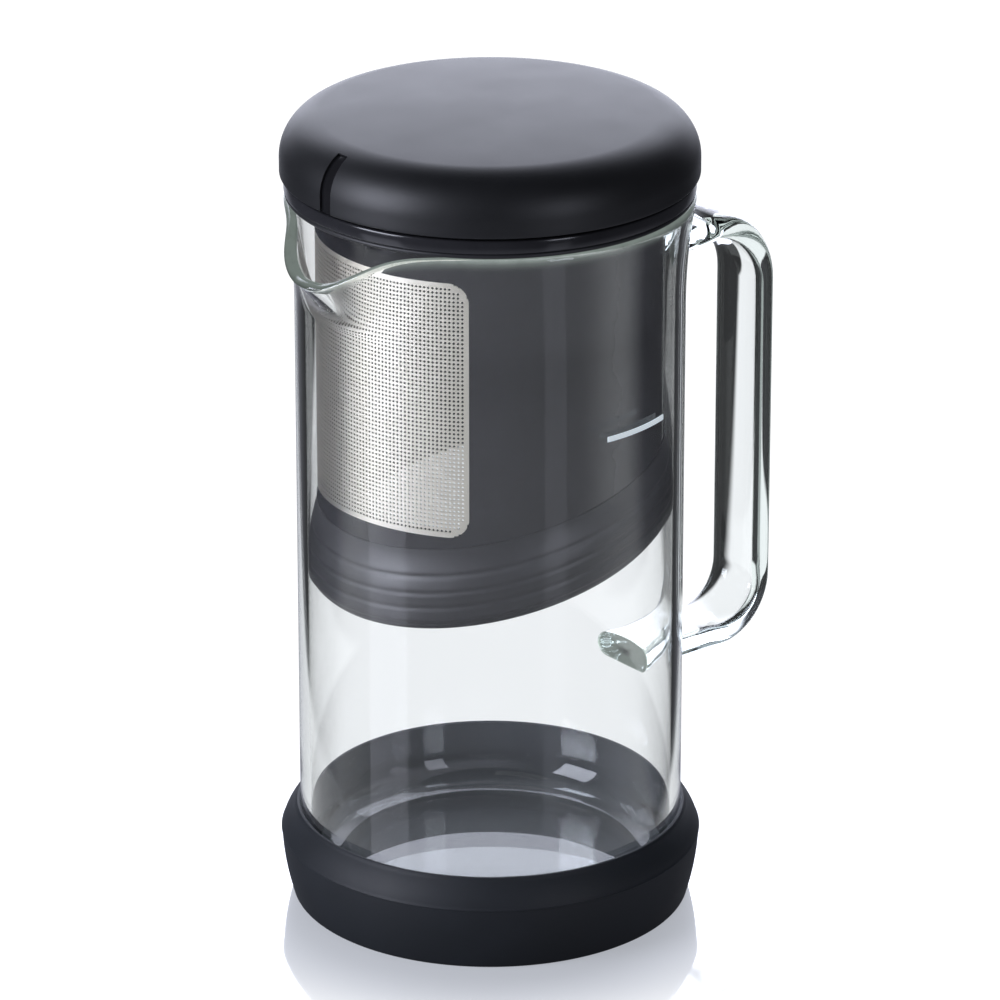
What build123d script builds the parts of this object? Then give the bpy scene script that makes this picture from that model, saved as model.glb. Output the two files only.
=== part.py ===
from build123d import *
import math
import os

# Brewing jug of glass with a lift-out filter tube and a twist-lock lid.
# Millimetres. The origin is on the jug's axis, on the surface that it stands on.
# +Z is up, the pouring lip points along -X and the handle along +X.

# Fits
seat_clearance = 0.05      # pieces that are pressed or glued together, each side
running_clearance = 0.3    # between pieces that move past each other
cut_overrun = 2.0          # how far a cutting shape runs past what it cuts

# Glass jug
glass_radius = 47.5        # outside of the straight wall
glass_wall = 2.5
glass_floor = 5.0
glass_corner = 7.0         # outside corner between floor and wall
rim_height = 184.0         # above the table
flare_height = 20.0        # upper stretch of the wall, which opens out
rim_flare = 2.5            # widening of the radius at the rim

# Pouring lip
lip_reach = 11.0           # how far its tip stands out past the straight wall
lip_dip = 10.0             # how far its tip lies under the rim
lip_dip_inset = 12.0       # how far inside the straight wall the rim starts to fall
lip_tip_radius = 7.0       # outside of its rounded tip
lip_start = 0.05           # bulge of the wall where the lip starts

# Glass handle
strap_width = 18.0
strap_thickness = 6.6
handle_reach = 35.9        # from the wall to the middle of the upright bar
handle_drop = 24.5         # upper foot under the rim
handle_bottom = 51.0       # height of the lower foot
handle_rise = 1.5          # rise of the upper run towards the bar
upper_bend = 17.0
lower_bend = 14.0

# Fill mark
mark_drop = 49.5           # its middle under the rim
mark_band = 1.3
mark_thickness = 0.2
mark_angle = 98.5          # from the lip, on the -Y side
mark_span = 24.7

# Base sleeve
sleeve_floor = 3.0
sleeve_height = 26.0
sleeve_belly_height = 16.8  # where the mould's parting line runs
sleeve_foot_wall = 2.1
sleeve_belly_wall = 4.8
sleeve_lip_wall = 1.7
sleeve_lower_crown = 0.5
sleeve_upper_crown = 0.5
sleeve_foot_round = 1.5

# Filter tube
tube_gap = 2.6             # between tube and glass wall
tube_wall = 2.0
tube_slant = 14.6          # degrees, the lower end is lowest at the lip
skirt_hang = 2.8           # how far the skirt hangs under the end of the tube
skirt_axis_height = 99.7   # lower edge of the skirt, measured on the axis
skirt_height = 11.0
skirt_bands = 4
skirt_top_wall = 0.5
skirt_lip_wall = 0.9
skirt_band_taper = 0.1
skirt_step = 0.3
flange_thickness = 3.4
flange_inset = 0.2         # flange edge inside the rim's edge

# Mesh window
mesh_thickness = 0.4
mesh_lift = 8.3            # lower edge above the end of the tube, measured on the axis
mesh_drop = 8.4            # upper edge under the rim
mesh_half_angle = 43.4
mesh_corner = 5.0
mesh_border = 2.2          # rim of the sheet that lies on the tube

# Rim gasket
gasket_thickness = 1.2
gasket_inset = 0.4         # edge inside the rim's edge

# Lid
lid_gap = 0.8              # open groove between flange and cap
cap_overhang = 0.8         # cap past the rim's edge
cap_height = 16.8
cap_shoulder = 11.0
cap_wall = 2.5
plate_thickness = 2.0
plug_depth = 10.6          # under the top of the flange
plug_wall = 2.0
lid_seal_width = 3.5
lid_seal_offset = 3.1      # inner edge of the seal, past the inside of the tube
lid_seal_seat = 1.0        # depth of its groove in the lid

# Bayonet
bayonet_count = 3
ledge_reach = 1.5
ledge_height = 2.3
ledge_span = 50.0
lug_span = 49.0
lug_height = 3.0
lug_inset = 0.5            # lug above the bottom of the plug
lug_lift = 0.2             # free height between lug and ledge
stop_span = 3.0

# Indicator strip
strip_width = 3.8
strip_recess = 0.5         # under the surface of the cap
strip_depth = 1.0
strip_sweep = 60.0         # how far it runs over the shoulder, degrees

# Derived sizes of the jug
glass_bore = glass_radius - glass_wall
rim_radius = glass_radius + rim_flare
flare_start = rim_height - flare_height
floor_top = sleeve_floor + glass_floor
bore_corner = glass_corner - glass_wall
lip_top = glass_radius + lip_reach * flare_height / (flare_height - lip_dip)
lip_tip = glass_radius + lip_reach
lip_half = math.degrees(math.acos((rim_radius - lip_tip_radius) / (lip_top - lip_tip_radius)))
lip_bore = lip_tip_radius - glass_wall
dip_start = glass_radius - lip_dip_inset
handle_top = rim_height - handle_drop
mark_height = rim_height - mark_drop

# Derived sizes of the filter
tube_radius = glass_bore - tube_gap
tube_bore = tube_radius - tube_wall
tube_axis_end = skirt_axis_height + skirt_hang
flange_bottom = rim_height + gasket_thickness
flange_top = flange_bottom + flange_thickness
flange_radius = rim_radius - flange_inset
skirt_lip_radius = glass_bore - running_clearance
mesh_bottom = tube_axis_end + mesh_lift
mesh_top = rim_height - mesh_drop
mesh_width = 2 * tube_radius * math.sin(math.radians(mesh_half_angle))
mesh_height = mesh_top - mesh_bottom
mesh_middle = (mesh_top + mesh_bottom) / 2

# Derived sizes of the lid
cap_bottom = flange_top + lid_gap
cap_top = cap_bottom + cap_height
cap_radius = rim_radius + cap_overhang
cap_bore = cap_radius - cap_wall
shoulder_radius = cap_radius - cap_shoulder
shoulder_height = cap_top - cap_shoulder
ledge_bore = tube_bore - ledge_reach
plug_radius = ledge_bore - running_clearance
plug_bottom = flange_top - plug_depth
lug_bottom = plug_bottom + lug_inset
lug_radius = tube_bore - running_clearance
ledge_bottom = lug_bottom + lug_height + lug_lift
seal_bore = tube_bore + lid_seal_offset
seal_radius = seal_bore + lid_seal_width


def upright_plane(angle):
    """Plane through the axis, with its x running outwards at this angle from +X."""
    turn = math.radians(angle)
    outward = (math.cos(turn), math.sin(turn), 0)
    return Plane(origin=(0, 0, 0), x_dir=outward, z_dir=(math.sin(turn), -math.cos(turn), 0))


def slanted_plane(height):
    """Plane parallel to the slanted end of the tube, at this height on the axis."""
    turn = math.radians(tube_slant)
    along = (math.cos(turn), 0, math.sin(turn))
    return Plane(origin=(0, 0, height), x_dir=along, z_dir=(-math.sin(turn), 0, math.cos(turn)))


def slanted_outline(height, radius):
    """Slanted section of an upright cylinder of this radius."""
    with BuildSketch(slanted_plane(height)) as outline:
        Ellipse(radius / math.cos(math.radians(tube_slant)), radius)
    return outline.sketch


def lip_outline(height, radius, tip, tip_radius):
    """Level outline of the lip: from the axis to the wall on both sides, drawn out to a rounded tip."""
    centre = tip - tip_radius
    side = math.radians(lip_half)
    with BuildSketch(Plane.XY.offset(height)) as outline:
        with BuildLine():
            point = CenterArc((-centre, 0), tip_radius, 180 - lip_half, 2 * lip_half)
            Polyline(point @ 1, (-radius * math.cos(side), -radius * math.sin(side)), (0, 0),
                     (-radius * math.cos(side), radius * math.sin(side)), point @ 0)
        make_face()
    return outline.sketch


def ring_sector(inner, outer, low, high, start, span):
    """Part of a ring, between two radii and two heights, from an angle over a span."""
    with BuildPart() as sector:
        with BuildSketch(upright_plane(start)):
            with Locations(((inner + outer) / 2, (low + high) / 2)):
                Rectangle(outer - inner, high - low)
        revolve(axis=Axis.Z, revolution_arc=span)
    return sector.part


def window_block(width, height, corner):
    """Block with rounded corners that cuts the window's outline out of the tube's -X side."""
    facing = Plane(origin=(0, 0, mesh_middle), x_dir=(0, 1, 0), z_dir=(-1, 0, 0))
    with BuildPart() as block:
        with BuildSketch(facing):
            RectangleRounded(width, height, corner)
        extrude(amount=glass_radius)
    return block.part


def strip_band(outer_depth, inner_depth, low, sweep, width):
    """Strip that follows the cap's side and shoulder at -X, between two depths under its surface."""
    centre = (-shoulder_radius, shoulder_height)
    with BuildPart() as band:
        with BuildSketch(Plane.XZ):
            with BuildLine():
                outer_bend = CenterArc(centre, cap_shoulder - outer_depth, 180, -sweep)
                inner_bend = CenterArc(centre, cap_shoulder - inner_depth, 180, -sweep)
                outer_side = Line((outer_depth - cap_radius, low), outer_bend @ 0)
                inner_side = Line((inner_depth - cap_radius, low), inner_bend @ 0)
                Line(outer_bend @ 1, inner_bend @ 1)
                Line(outer_side @ 0, inner_side @ 0)
            make_face()
        extrude(amount=width / 2, both=True)
    return band.part


# Inside of the glass jug
with BuildPart() as jug_hollow:
    with BuildSketch(Plane.XZ):
        with BuildLine():
            Polyline((0, floor_top), (glass_bore - bore_corner, floor_top))
            CenterArc((glass_bore - bore_corner, floor_top + bore_corner), bore_corner, -90, 90)
            Polyline((glass_bore, floor_top + bore_corner), (glass_bore, flare_start),
                     (rim_radius - glass_wall, rim_height), (0, rim_height), (0, floor_top))
        make_face()
    revolve(axis=Axis.Z)
    loft([lip_outline(flare_start, glass_bore, glass_bore + lip_start, lip_bore),
          lip_outline(rim_height, rim_radius - glass_wall, lip_top - glass_wall, lip_bore)])

# Glass jug: floor, straight wall and flared rim, with the lip drawn out of the rim
with BuildPart() as glass_jug:
    with BuildSketch(Plane.XZ):
        with BuildLine():
            Polyline((0, sleeve_floor), (glass_radius - glass_corner, sleeve_floor))
            CenterArc((glass_radius - glass_corner, sleeve_floor + glass_corner), glass_corner, -90, 90)
            Polyline((glass_radius, sleeve_floor + glass_corner), (glass_radius, flare_start),
                     (rim_radius, rim_height), (0, rim_height), (0, sleeve_floor))
        make_face()
    revolve(axis=Axis.Z)
    loft([lip_outline(flare_start, glass_radius, glass_radius + lip_start, lip_tip_radius),
          lip_outline(rim_height, rim_radius, lip_top, lip_tip_radius)])
    add(jug_hollow.part, mode=Mode.SUBTRACT)
    with BuildSketch(Plane.XZ):
        with BuildLine():
            fall = TangentArc((-dip_start, rim_height), (-lip_tip, rim_height - lip_dip), tangent=(-1, 0))
            Polyline(fall @ 1, (-lip_top - cut_overrun, rim_height - lip_dip),
                     (-lip_top - cut_overrun, rim_height + cut_overrun),
                     (-dip_start, rim_height + cut_overrun), fall @ 0)
        make_face()
    extrude(amount=rim_radius, both=True, mode=Mode.SUBTRACT)

# Glass handle: one strap, its two feet cut to the wall
with BuildPart() as glass_handle:
    bar = glass_radius + handle_reach
    with BuildLine(Plane.XZ) as strap_path:
        FilletPolyline((glass_bore, handle_top), (bar, handle_top + handle_rise), (bar, handle_bottom),
                       (glass_bore, handle_bottom), radius=[upper_bend, lower_bend])
    with BuildSketch(Plane(origin=strap_path.line @ 0, x_dir=(0, 1, 0), z_dir=strap_path.line % 0)):
        SlotOverall(strap_width, strap_thickness)
    sweep(path=strap_path.line)
    with BuildSketch():
        Circle(glass_radius)
    extrude(amount=rim_height, mode=Mode.SUBTRACT)

# Fill mark: a thin printed band on the outside of the wall
mark_low = mark_height - mark_band / 2
mark_first = 180 + mark_angle - mark_span / 2
with BuildPart() as fill_mark:
    add(ring_sector(glass_radius, glass_radius + mark_thickness, mark_low, mark_low + mark_band,
                    mark_first, mark_span))

# Base sleeve: a soft cup that is widest at its parting line
with BuildPart() as base_sleeve:
    foot = glass_radius + sleeve_foot_wall
    belly = glass_radius + sleeve_belly_wall
    sleeve_seat = glass_radius + seat_clearance
    sleeve_corner = glass_corner + seat_clearance
    with BuildSketch(Plane.XZ):
        with BuildLine():
            Line((0, 0), (foot, 0))
            SagittaArc((foot, 0), (belly, sleeve_belly_height), -sleeve_lower_crown)
            SagittaArc((belly, sleeve_belly_height), (glass_radius + sleeve_lip_wall, sleeve_height),
                       -sleeve_upper_crown)
            Polyline((glass_radius + sleeve_lip_wall, sleeve_height), (sleeve_seat, sleeve_height),
                     (sleeve_seat, sleeve_floor + sleeve_corner))
            CenterArc((sleeve_seat - sleeve_corner, sleeve_floor + sleeve_corner), sleeve_corner, 0, -90)
            Polyline((sleeve_seat - sleeve_corner, sleeve_floor), (0, sleeve_floor), (0, 0))
        make_face()
    revolve(axis=Axis.Z)
    fillet(base_sleeve.edges().filter_by(GeomType.CIRCLE).group_by(Axis.Z)[0], radius=sleeve_foot_round)

# Mesh sheet: bent to the tube, in its window
with BuildPart() as filter_mesh:
    with BuildSketch(Plane.XY.offset(mesh_bottom)):
        Circle(tube_radius)
        Circle(tube_radius - mesh_thickness, mode=Mode.SUBTRACT)
    extrude(amount=mesh_height)
    add(window_block(mesh_width, mesh_height, mesh_corner), mode=Mode.INTERSECT)

# Seat of the mesh sheet in the outside of the tube
with BuildPart() as mesh_recess:
    recess_radius = tube_radius - mesh_thickness - seat_clearance
    add(ring_sector(recess_radius, tube_radius + cut_overrun, mesh_bottom - cut_overrun,
                    mesh_top + cut_overrun, 90, 180))
    add(window_block(mesh_width + 2 * seat_clearance, mesh_height + 2 * seat_clearance,
                     mesh_corner + seat_clearance), mode=Mode.INTERSECT)

# Filter tube: slanted open end, window, flange, and the ledges of the bayonet inside
with BuildPart() as filter_tube:
    with BuildSketch(Plane.XY.offset(floor_top)):
        Circle(tube_radius)
        Circle(tube_bore, mode=Mode.SUBTRACT)
    extrude(amount=flange_top - floor_top)
    split(bisect_by=slanted_plane(tube_axis_end), keep=Keep.TOP)
    with BuildSketch(Plane.XY.offset(flange_bottom)):
        Circle(flange_radius)
        Circle(tube_bore, mode=Mode.SUBTRACT)
    extrude(amount=flange_thickness)
    add(mesh_recess.part, mode=Mode.SUBTRACT)
    add(window_block(mesh_width - 2 * mesh_border, mesh_height - 2 * mesh_border,
                     mesh_corner - mesh_border), mode=Mode.SUBTRACT)
    for number in range(bayonet_count):
        middle = 180 + number * 360 / bayonet_count
        first = middle - ledge_span / 2
        add(ring_sector(ledge_bore, tube_bore + seat_clearance, ledge_bottom,
                        ledge_bottom + ledge_height, first, ledge_span))
        add(ring_sector(ledge_bore, tube_bore + seat_clearance, lug_bottom,
                        ledge_bottom + ledge_height, first - stop_span, stop_span))

# Skirt seal: bands that widen in steps from the tube to the glass, on the slant of the tube's end
with BuildPart() as skirt_seal:
    band_height = skirt_height / skirt_bands
    band_growth = (skirt_lip_radius - tube_radius - skirt_top_wall) / skirt_bands
    outlines = []
    for number in range(skirt_bands):
        low = skirt_axis_height + number * band_height
        wide = skirt_lip_radius - number * band_growth
        outlines.append(slanted_outline(low, wide))
        outlines.append(slanted_outline(low + band_height - skirt_step, wide - skirt_band_taper))
    skirt_top = skirt_axis_height + skirt_height
    outlines.append(slanted_outline(skirt_top, tube_radius + skirt_top_wall))
    loft(outlines, ruled=True)
    skirt_seat = tube_radius + seat_clearance
    loft([slanted_outline(skirt_axis_height - cut_overrun, skirt_lip_radius - skirt_lip_wall),
          slanted_outline(skirt_axis_height, skirt_lip_radius - skirt_lip_wall),
          slanted_outline(tube_axis_end, skirt_seat),
          slanted_outline(skirt_top + cut_overrun, skirt_seat)], ruled=True, mode=Mode.SUBTRACT)

# Rim gasket: flat ring between the glass rim and the flange
with BuildPart() as rim_gasket:
    with BuildSketch(Plane.XY.offset(rim_height)):
        Circle(rim_radius - gasket_inset)
        Circle(tube_radius + running_clearance, mode=Mode.SUBTRACT)
    extrude(amount=gasket_thickness)

# Lid cap: a shell with a large shoulder, with a slot for the indicator
strip_bottom_depth = strip_recess + strip_depth
with BuildPart() as lid_cap:
    with BuildSketch(Plane.XZ):
        with BuildLine():
            Line((cap_radius, cap_bottom), (cap_radius, shoulder_height))
            CenterArc((shoulder_radius, shoulder_height), cap_shoulder, 0, 90)
            Polyline((shoulder_radius, cap_top), (0, cap_top), (0, cap_top - cap_wall),
                     (shoulder_radius, cap_top - cap_wall))
            CenterArc((shoulder_radius, shoulder_height), cap_shoulder - cap_wall, 90, -90)
            Polyline((cap_bore, shoulder_height), (cap_bore, cap_bottom), (cap_radius, cap_bottom))
        make_face()
    revolve(axis=Axis.Z)
    add(strip_band(-cut_overrun, strip_bottom_depth + seat_clearance, cap_bottom - cut_overrun,
                   strip_sweep, strip_width + 2 * seat_clearance), mode=Mode.SUBTRACT)

# Indicator strip: lies in the slot of the cap and points at the lip
with BuildPart() as lid_indicator:
    add(strip_band(strip_recess, strip_bottom_depth, cap_bottom, strip_sweep, strip_width))

# Lid plug: plate that closes the cap, cup that reaches into the tube, lugs of the bayonet
with BuildPart() as lid_plug:
    plate_top = cap_bottom + plate_thickness
    cup_bore = plug_radius - plug_wall
    with BuildSketch(Plane.XZ):
        with BuildLine():
            Polyline((cap_bore - seat_clearance, cap_bottom), (cap_bore - seat_clearance, plate_top),
                     (cup_bore, plate_top), (cup_bore, plug_bottom + plug_wall),
                     (0, plug_bottom + plug_wall), (0, plug_bottom), (plug_radius, plug_bottom),
                     (plug_radius, cap_bottom), (cap_bore - seat_clearance, cap_bottom))
        make_face()
    revolve(axis=Axis.Z)
    for number in range(bayonet_count):
        middle = 180 + number * 360 / bayonet_count
        add(ring_sector(plug_radius - seat_clearance, lug_radius, lug_bottom, lug_bottom + lug_height,
                        middle - lug_span / 2, lug_span))
    with BuildSketch(Plane.XY.offset(cap_bottom)):
        Circle(seal_radius + seat_clearance)
        Circle(seal_bore - seat_clearance, mode=Mode.SUBTRACT)
    extrude(amount=lid_seal_seat, mode=Mode.SUBTRACT)

# Lid gasket: ring in the groove of the lid, which lies on the flange
with BuildPart() as lid_gasket:
    with BuildSketch(Plane.XY.offset(flange_top)):
        Circle(seal_radius)
        Circle(seal_bore, mode=Mode.SUBTRACT)
    extrude(amount=lid_gap + lid_seal_seat)

# One file for each piece
pieces = {
    "glass_jug": glass_jug,
    "glass_handle": glass_handle,
    "fill_mark": fill_mark,
    "base_sleeve": base_sleeve,
    "filter_tube": filter_tube,
    "filter_mesh": filter_mesh,
    "skirt_seal": skirt_seal,
    "rim_gasket": rim_gasket,
    "lid_cap": lid_cap,
    "lid_indicator": lid_indicator,
    "lid_plug": lid_plug,
    "lid_gasket": lid_gasket,
}
os.makedirs("parts", exist_ok=True)
for name, piece in pieces.items():
    piece.part.label = name
    export_step(piece.part, f"parts/{name}.step")
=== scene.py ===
"""Dressed model of a glass brewing jug with a lift-out filter and a twist-lock lid."""

import logging
import math
from dataclasses import dataclass
from enum import Enum
from functools import lru_cache
from typing import Any, Callable, Iterable, Sequence

import bmesh
import bpy
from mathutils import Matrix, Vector


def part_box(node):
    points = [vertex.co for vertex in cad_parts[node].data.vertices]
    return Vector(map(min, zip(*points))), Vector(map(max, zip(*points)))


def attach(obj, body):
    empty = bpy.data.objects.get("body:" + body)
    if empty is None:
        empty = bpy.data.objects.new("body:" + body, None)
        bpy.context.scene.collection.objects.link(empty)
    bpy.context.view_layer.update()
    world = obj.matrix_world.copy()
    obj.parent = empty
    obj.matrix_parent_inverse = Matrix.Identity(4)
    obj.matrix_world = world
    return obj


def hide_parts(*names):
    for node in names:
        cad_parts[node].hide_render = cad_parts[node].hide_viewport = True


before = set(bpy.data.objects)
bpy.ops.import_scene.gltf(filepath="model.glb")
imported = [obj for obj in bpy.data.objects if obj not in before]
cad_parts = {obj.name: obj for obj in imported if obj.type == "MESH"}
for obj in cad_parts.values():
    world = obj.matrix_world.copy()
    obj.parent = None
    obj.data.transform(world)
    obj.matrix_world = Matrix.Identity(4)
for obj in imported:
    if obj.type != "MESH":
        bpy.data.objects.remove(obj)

LOG = logging.getLogger("brewer")
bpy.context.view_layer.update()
MM = 0.001
FULL_TURN = 2 * math.pi
# Stretches in the arc of a small rounded edge
SMALL_ROUND = 4
# Falloff and middle value of the noise textures
NOISE_ROUGHNESS = 0.55
NOISE_MEAN = 0.5
# Attribute that holds each point's share in the painted glow at a cut glass edge
PAINTED_GLOW = "edge"

Colour = tuple[float, float, float, float]
Point = tuple[float, float]

WHITE: Colour = (1.0, 1.0, 1.0, 1.0)
BLACK: Colour = (0.0, 0.0, 0.0, 1.0)
COOL: Colour = (0.92, 0.95, 1.10, 1.0)


class Body(Enum):
    """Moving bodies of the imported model."""

    JUG = "jug"
    RIM_SEAL = "rim_seal"
    FILTER = "filter"
    LID = "lid"


class Slot(Enum):
    """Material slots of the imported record."""

    GLASS = "jug_glass"
    PRINT = "printed_mark"
    SILICONE = "black_silicone"
    GLOSS = "black_gloss_plastic"
    MATTE = "black_matte_plastic"
    STEEL = "mesh_steel"


# Node graphs

class Signal:
    """Output of a node; arithmetic with it adds Math nodes to its graph."""

    def __init__(self, graph: "Graph", socket: bpy.types.NodeSocket | None) -> None:
        """Keeps the graph and the socket."""
        self.graph = graph
        self.socket = socket

    def _math(self, operation: str, left: "Operand", right: "Operand") -> "Signal":
        """Adds a Math node and returns its result."""
        return self.graph.add("ShaderNodeMath", {"operation": operation}, {0: left, 1: right})

    def __add__(self, other: "Operand") -> "Signal":
        """Sum."""
        return self._math("ADD", self, other)

    def __radd__(self, other: "Operand") -> "Signal":
        """Sum with a number on the left."""
        return self._math("ADD", other, self)

    def __sub__(self, other: "Operand") -> "Signal":
        """Difference."""
        return self._math("SUBTRACT", self, other)

    def __rsub__(self, other: "Operand") -> "Signal":
        """Difference with a number on the left."""
        return self._math("SUBTRACT", other, self)

    def __mul__(self, other: "Operand") -> "Signal":
        """Product."""
        return self._math("MULTIPLY", self, other)

    def __rmul__(self, other: "Operand") -> "Signal":
        """Product with a number on the left."""
        return self._math("MULTIPLY", other, self)

    def __truediv__(self, other: "Operand") -> "Signal":
        """Quotient."""
        return self._math("DIVIDE", self, other)

    def __rtruediv__(self, other: "Operand") -> "Signal":
        """Quotient with a number on the left."""
        return self._math("DIVIDE", other, self)

    def __abs__(self) -> "Signal":
        """Size without its sign."""
        return self._math("ABSOLUTE", self, 0.0)

    def above(self, other: "Operand") -> "Signal":
        """1 where this is greater than the other, else 0."""
        return self._math("GREATER_THAN", self, other)

    def larger(self, other: "Operand") -> "Signal":
        """The larger of the two."""
        return self._math("MAXIMUM", self, other)

    def beside(self, output: int | str) -> "Signal":
        """Another output of the same node."""
        return Signal(self.graph, self.socket.node.outputs[output])


Operand = Signal | float


class Graph:
    """Node tree of a material, the world or a geometry group."""

    def __init__(self, tree: bpy.types.NodeTree) -> None:
        """Takes over a tree and empties it."""
        self.tree = tree
        tree.nodes.clear()

    def add(self, kind: str, settings: dict[str, Any] | None = None,
            inputs: dict[int | str, Any] | None = None, output: int | str = 0) -> Signal:
        """Adds a node.

        Args:
            kind: The node's type.
            settings: Properties of the node, set first.
            inputs: Values or links of its sockets, by index or name; a list holds several links.
            output: Which output to return.

        Returns:
            That output of the new node.
        """
        node = self.tree.nodes.new(kind)
        for name, value in (settings or {}).items():
            setattr(node, name, value)
        for key, value in (inputs or {}).items():
            for source in value if isinstance(value, list) else [value]:
                if isinstance(source, Signal):
                    self.tree.links.new(source.socket, node.inputs[key])
                else:
                    node.inputs[key].default_value = source
        return Signal(self, node.outputs[output] if node.outputs else None)

    def mix(self, factor: Operand, low: Any, high: Any) -> Signal:
        """Mixes two colours, on the node's colour sockets; 0 gives the first and 1 the second."""
        return self.add("ShaderNodeMix", {"data_type": "RGBA"}, {0: factor, 6: low, 7: high}, 2)

    def blend(self, factor: Operand, low: Signal, high: Signal) -> Signal:
        """Mixes two shaders; 0 gives the first and 1 the second."""
        return self.add("ShaderNodeMixShader", {}, {0: factor, 1: low, 2: high})

    def span(self, value: Operand, low: float, high: float) -> Signal:
        """Rises smoothly from 0 at the low value to 1 at the high one."""
        return self.add("ShaderNodeMapRange", {"interpolation_type": "SMOOTHSTEP"},
                        {"Value": value, "From Min": low, "From Max": high})

    def noise(self, place: Signal, size: float, detail: float = 2.0) -> Signal:
        """Soft noise with features of this size in metres, around one half."""
        return self.add("ShaderNodeTexNoise", {}, {
            "Vector": place, "Scale": 1 / size, "Detail": detail, "Roughness": NOISE_ROUGHNESS})

    def stretched(self, place: Signal, upright: float) -> Signal:
        """Coordinates whose heights are scaled, which draws a pattern out or in."""
        return self.add("ShaderNodeMapping", {}, {"Vector": place, "Scale": (1.0, 1.0, upright)})

    def bump(self, height: Signal, strength: float, depth: float) -> Signal:
        """Normals of a surface with this relief."""
        return self.add("ShaderNodeBump", {}, {"Strength": strength, "Distance": depth, "Height": height})

    def glow(self, colour: Any, strength: Operand) -> Signal:
        """Light of this colour and strength."""
        return self.add("ShaderNodeEmission", {}, {"Color": colour, "Strength": strength})

    def length(self, vector: Signal) -> Signal:
        """Length of a vector."""
        return self.add("ShaderNodeVectorMath", {"operation": "LENGTH"}, {0: vector}, "Value")

    def along(self, vector: Signal, axis: Vector) -> Signal:
        """Length of a vector along an axis."""
        return self.add("ShaderNodeVectorMath", {"operation": "DOT_PRODUCT"}, {0: vector, 1: axis}, "Value")

    def ray_kinds(self) -> tuple[Signal, Signal]:
        """Two signals that are 1 for rays from the camera, and for rays that come through glass."""
        camera = self.add("ShaderNodeLightPath", output="Is Camera Ray")
        return camera, camera.beside("Is Transmission Ray")


# Finishes

@dataclass(frozen=True)
class Finish:
    """A surface finish, made into one material."""

    name: str

    def shader(self, graph: Graph, place: Signal) -> Signal:
        """Surface shader; place holds Object coordinates."""
        raise NotImplementedError

    def volume(self, graph: Graph) -> Signal | None:
        """Volume shader, or None where the inside isn't seen."""
        return None

    def material(self) -> bpy.types.Material:
        """Builds the material.

        Returns:
            The new material with its node tree.
        """
        material = bpy.data.materials.new(self.name)
        material.use_nodes = True
        graph = Graph(material.node_tree)
        place = graph.add("ShaderNodeTexCoord", output="Object")
        links: dict[int | str, Any] = {"Surface": self.shader(graph, place)}
        inside = self.volume(graph)
        if inside is not None:
            links["Volume"] = inside
        graph.add("ShaderNodeOutputMaterial", {}, links)
        return material


@dataclass(frozen=True)
class MouldedFinish(Finish):
    """Moulded plastic or silicone, with a fine grain and soft smears."""

    colour: Colour
    smear: Colour
    roughness: float
    spread: float
    grain: float
    depth: float
    cloud: float = 14 * MM
    cloud_detail: float = 4.0
    smear_range: Point = (0.35, 0.75)
    smear_grain: float = 0.4
    rough_grain: float = 0.5
    relief: float = 0.6

    def shader(self, graph: Graph, place: Signal) -> Signal:
        """Grain in the bump, smears in colour and roughness.

        Args:
            graph: Node tree of the material.
            place: Object coordinates.

        Returns:
            The surface shader.
        """
        cloud = graph.noise(place, self.cloud, self.cloud_detail)
        grain = graph.noise(place, self.grain)
        smear = graph.span(cloud, *self.smear_range)
        smear = smear * ((1.0 - self.smear_grain) + self.smear_grain * grain)
        mean = NOISE_MEAN * (1.0 + self.rough_grain)
        return graph.add("ShaderNodeBsdfPrincipled", {}, {
            "Base Color": graph.mix(smear, self.colour, self.smear),
            "Roughness": self.roughness + self.spread * (cloud + self.rough_grain * grain - mean),
            "Normal": graph.bump(grain, self.relief, self.depth),
        })


@dataclass(frozen=True)
class GlassFinish(Finish):
    """Clear drawn glass, faintly green where it is thick."""

    tint: Colour
    density: float
    ior: float
    wave: float
    wave_depth: float
    # Colour of the painted glow at the cut edges
    painted_edge_glow: Colour
    wave_stretch: float = 0.35
    edge_cloud: float = 3 * MM
    edge_low: float = 0.7
    edge_gain: float = 0.6

    def shader(self, graph: Graph, place: Signal) -> Signal:
        """Clear glass with the shallow waves of a drawn wall, and a painted glow at its cut edges.

        Args:
            graph: Node tree of the material.
            place: Object coordinates.

        Returns:
            The surface shader.
        """
        wave = graph.noise(graph.stretched(place, self.wave_stretch), self.wave, 1.0)
        # Painted glow at the cut edges, uneven in clouds
        edge = graph.add("ShaderNodeAttribute", {"attribute_name": PAINTED_GLOW}, output="Fac")
        edge = edge * (self.edge_low + self.edge_gain * graph.noise(place, self.edge_cloud))
        return graph.add("ShaderNodeBsdfPrincipled", {}, {
            "Base Color": WHITE,
            "Roughness": 0.0,
            "IOR": self.ior,
            "Transmission Weight": 1.0,
            "Emission Color": graph.mix(edge, BLACK, self.painted_edge_glow),
            "Emission Strength": 1.0,
            "Normal": graph.bump(wave, 1.0, self.wave_depth),
        })

    def volume(self, graph: Graph) -> Signal:
        """Absorption along the way through the glass."""
        return graph.add("ShaderNodeVolumeAbsorption", {}, {"Color": self.tint, "Density": self.density})


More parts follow.
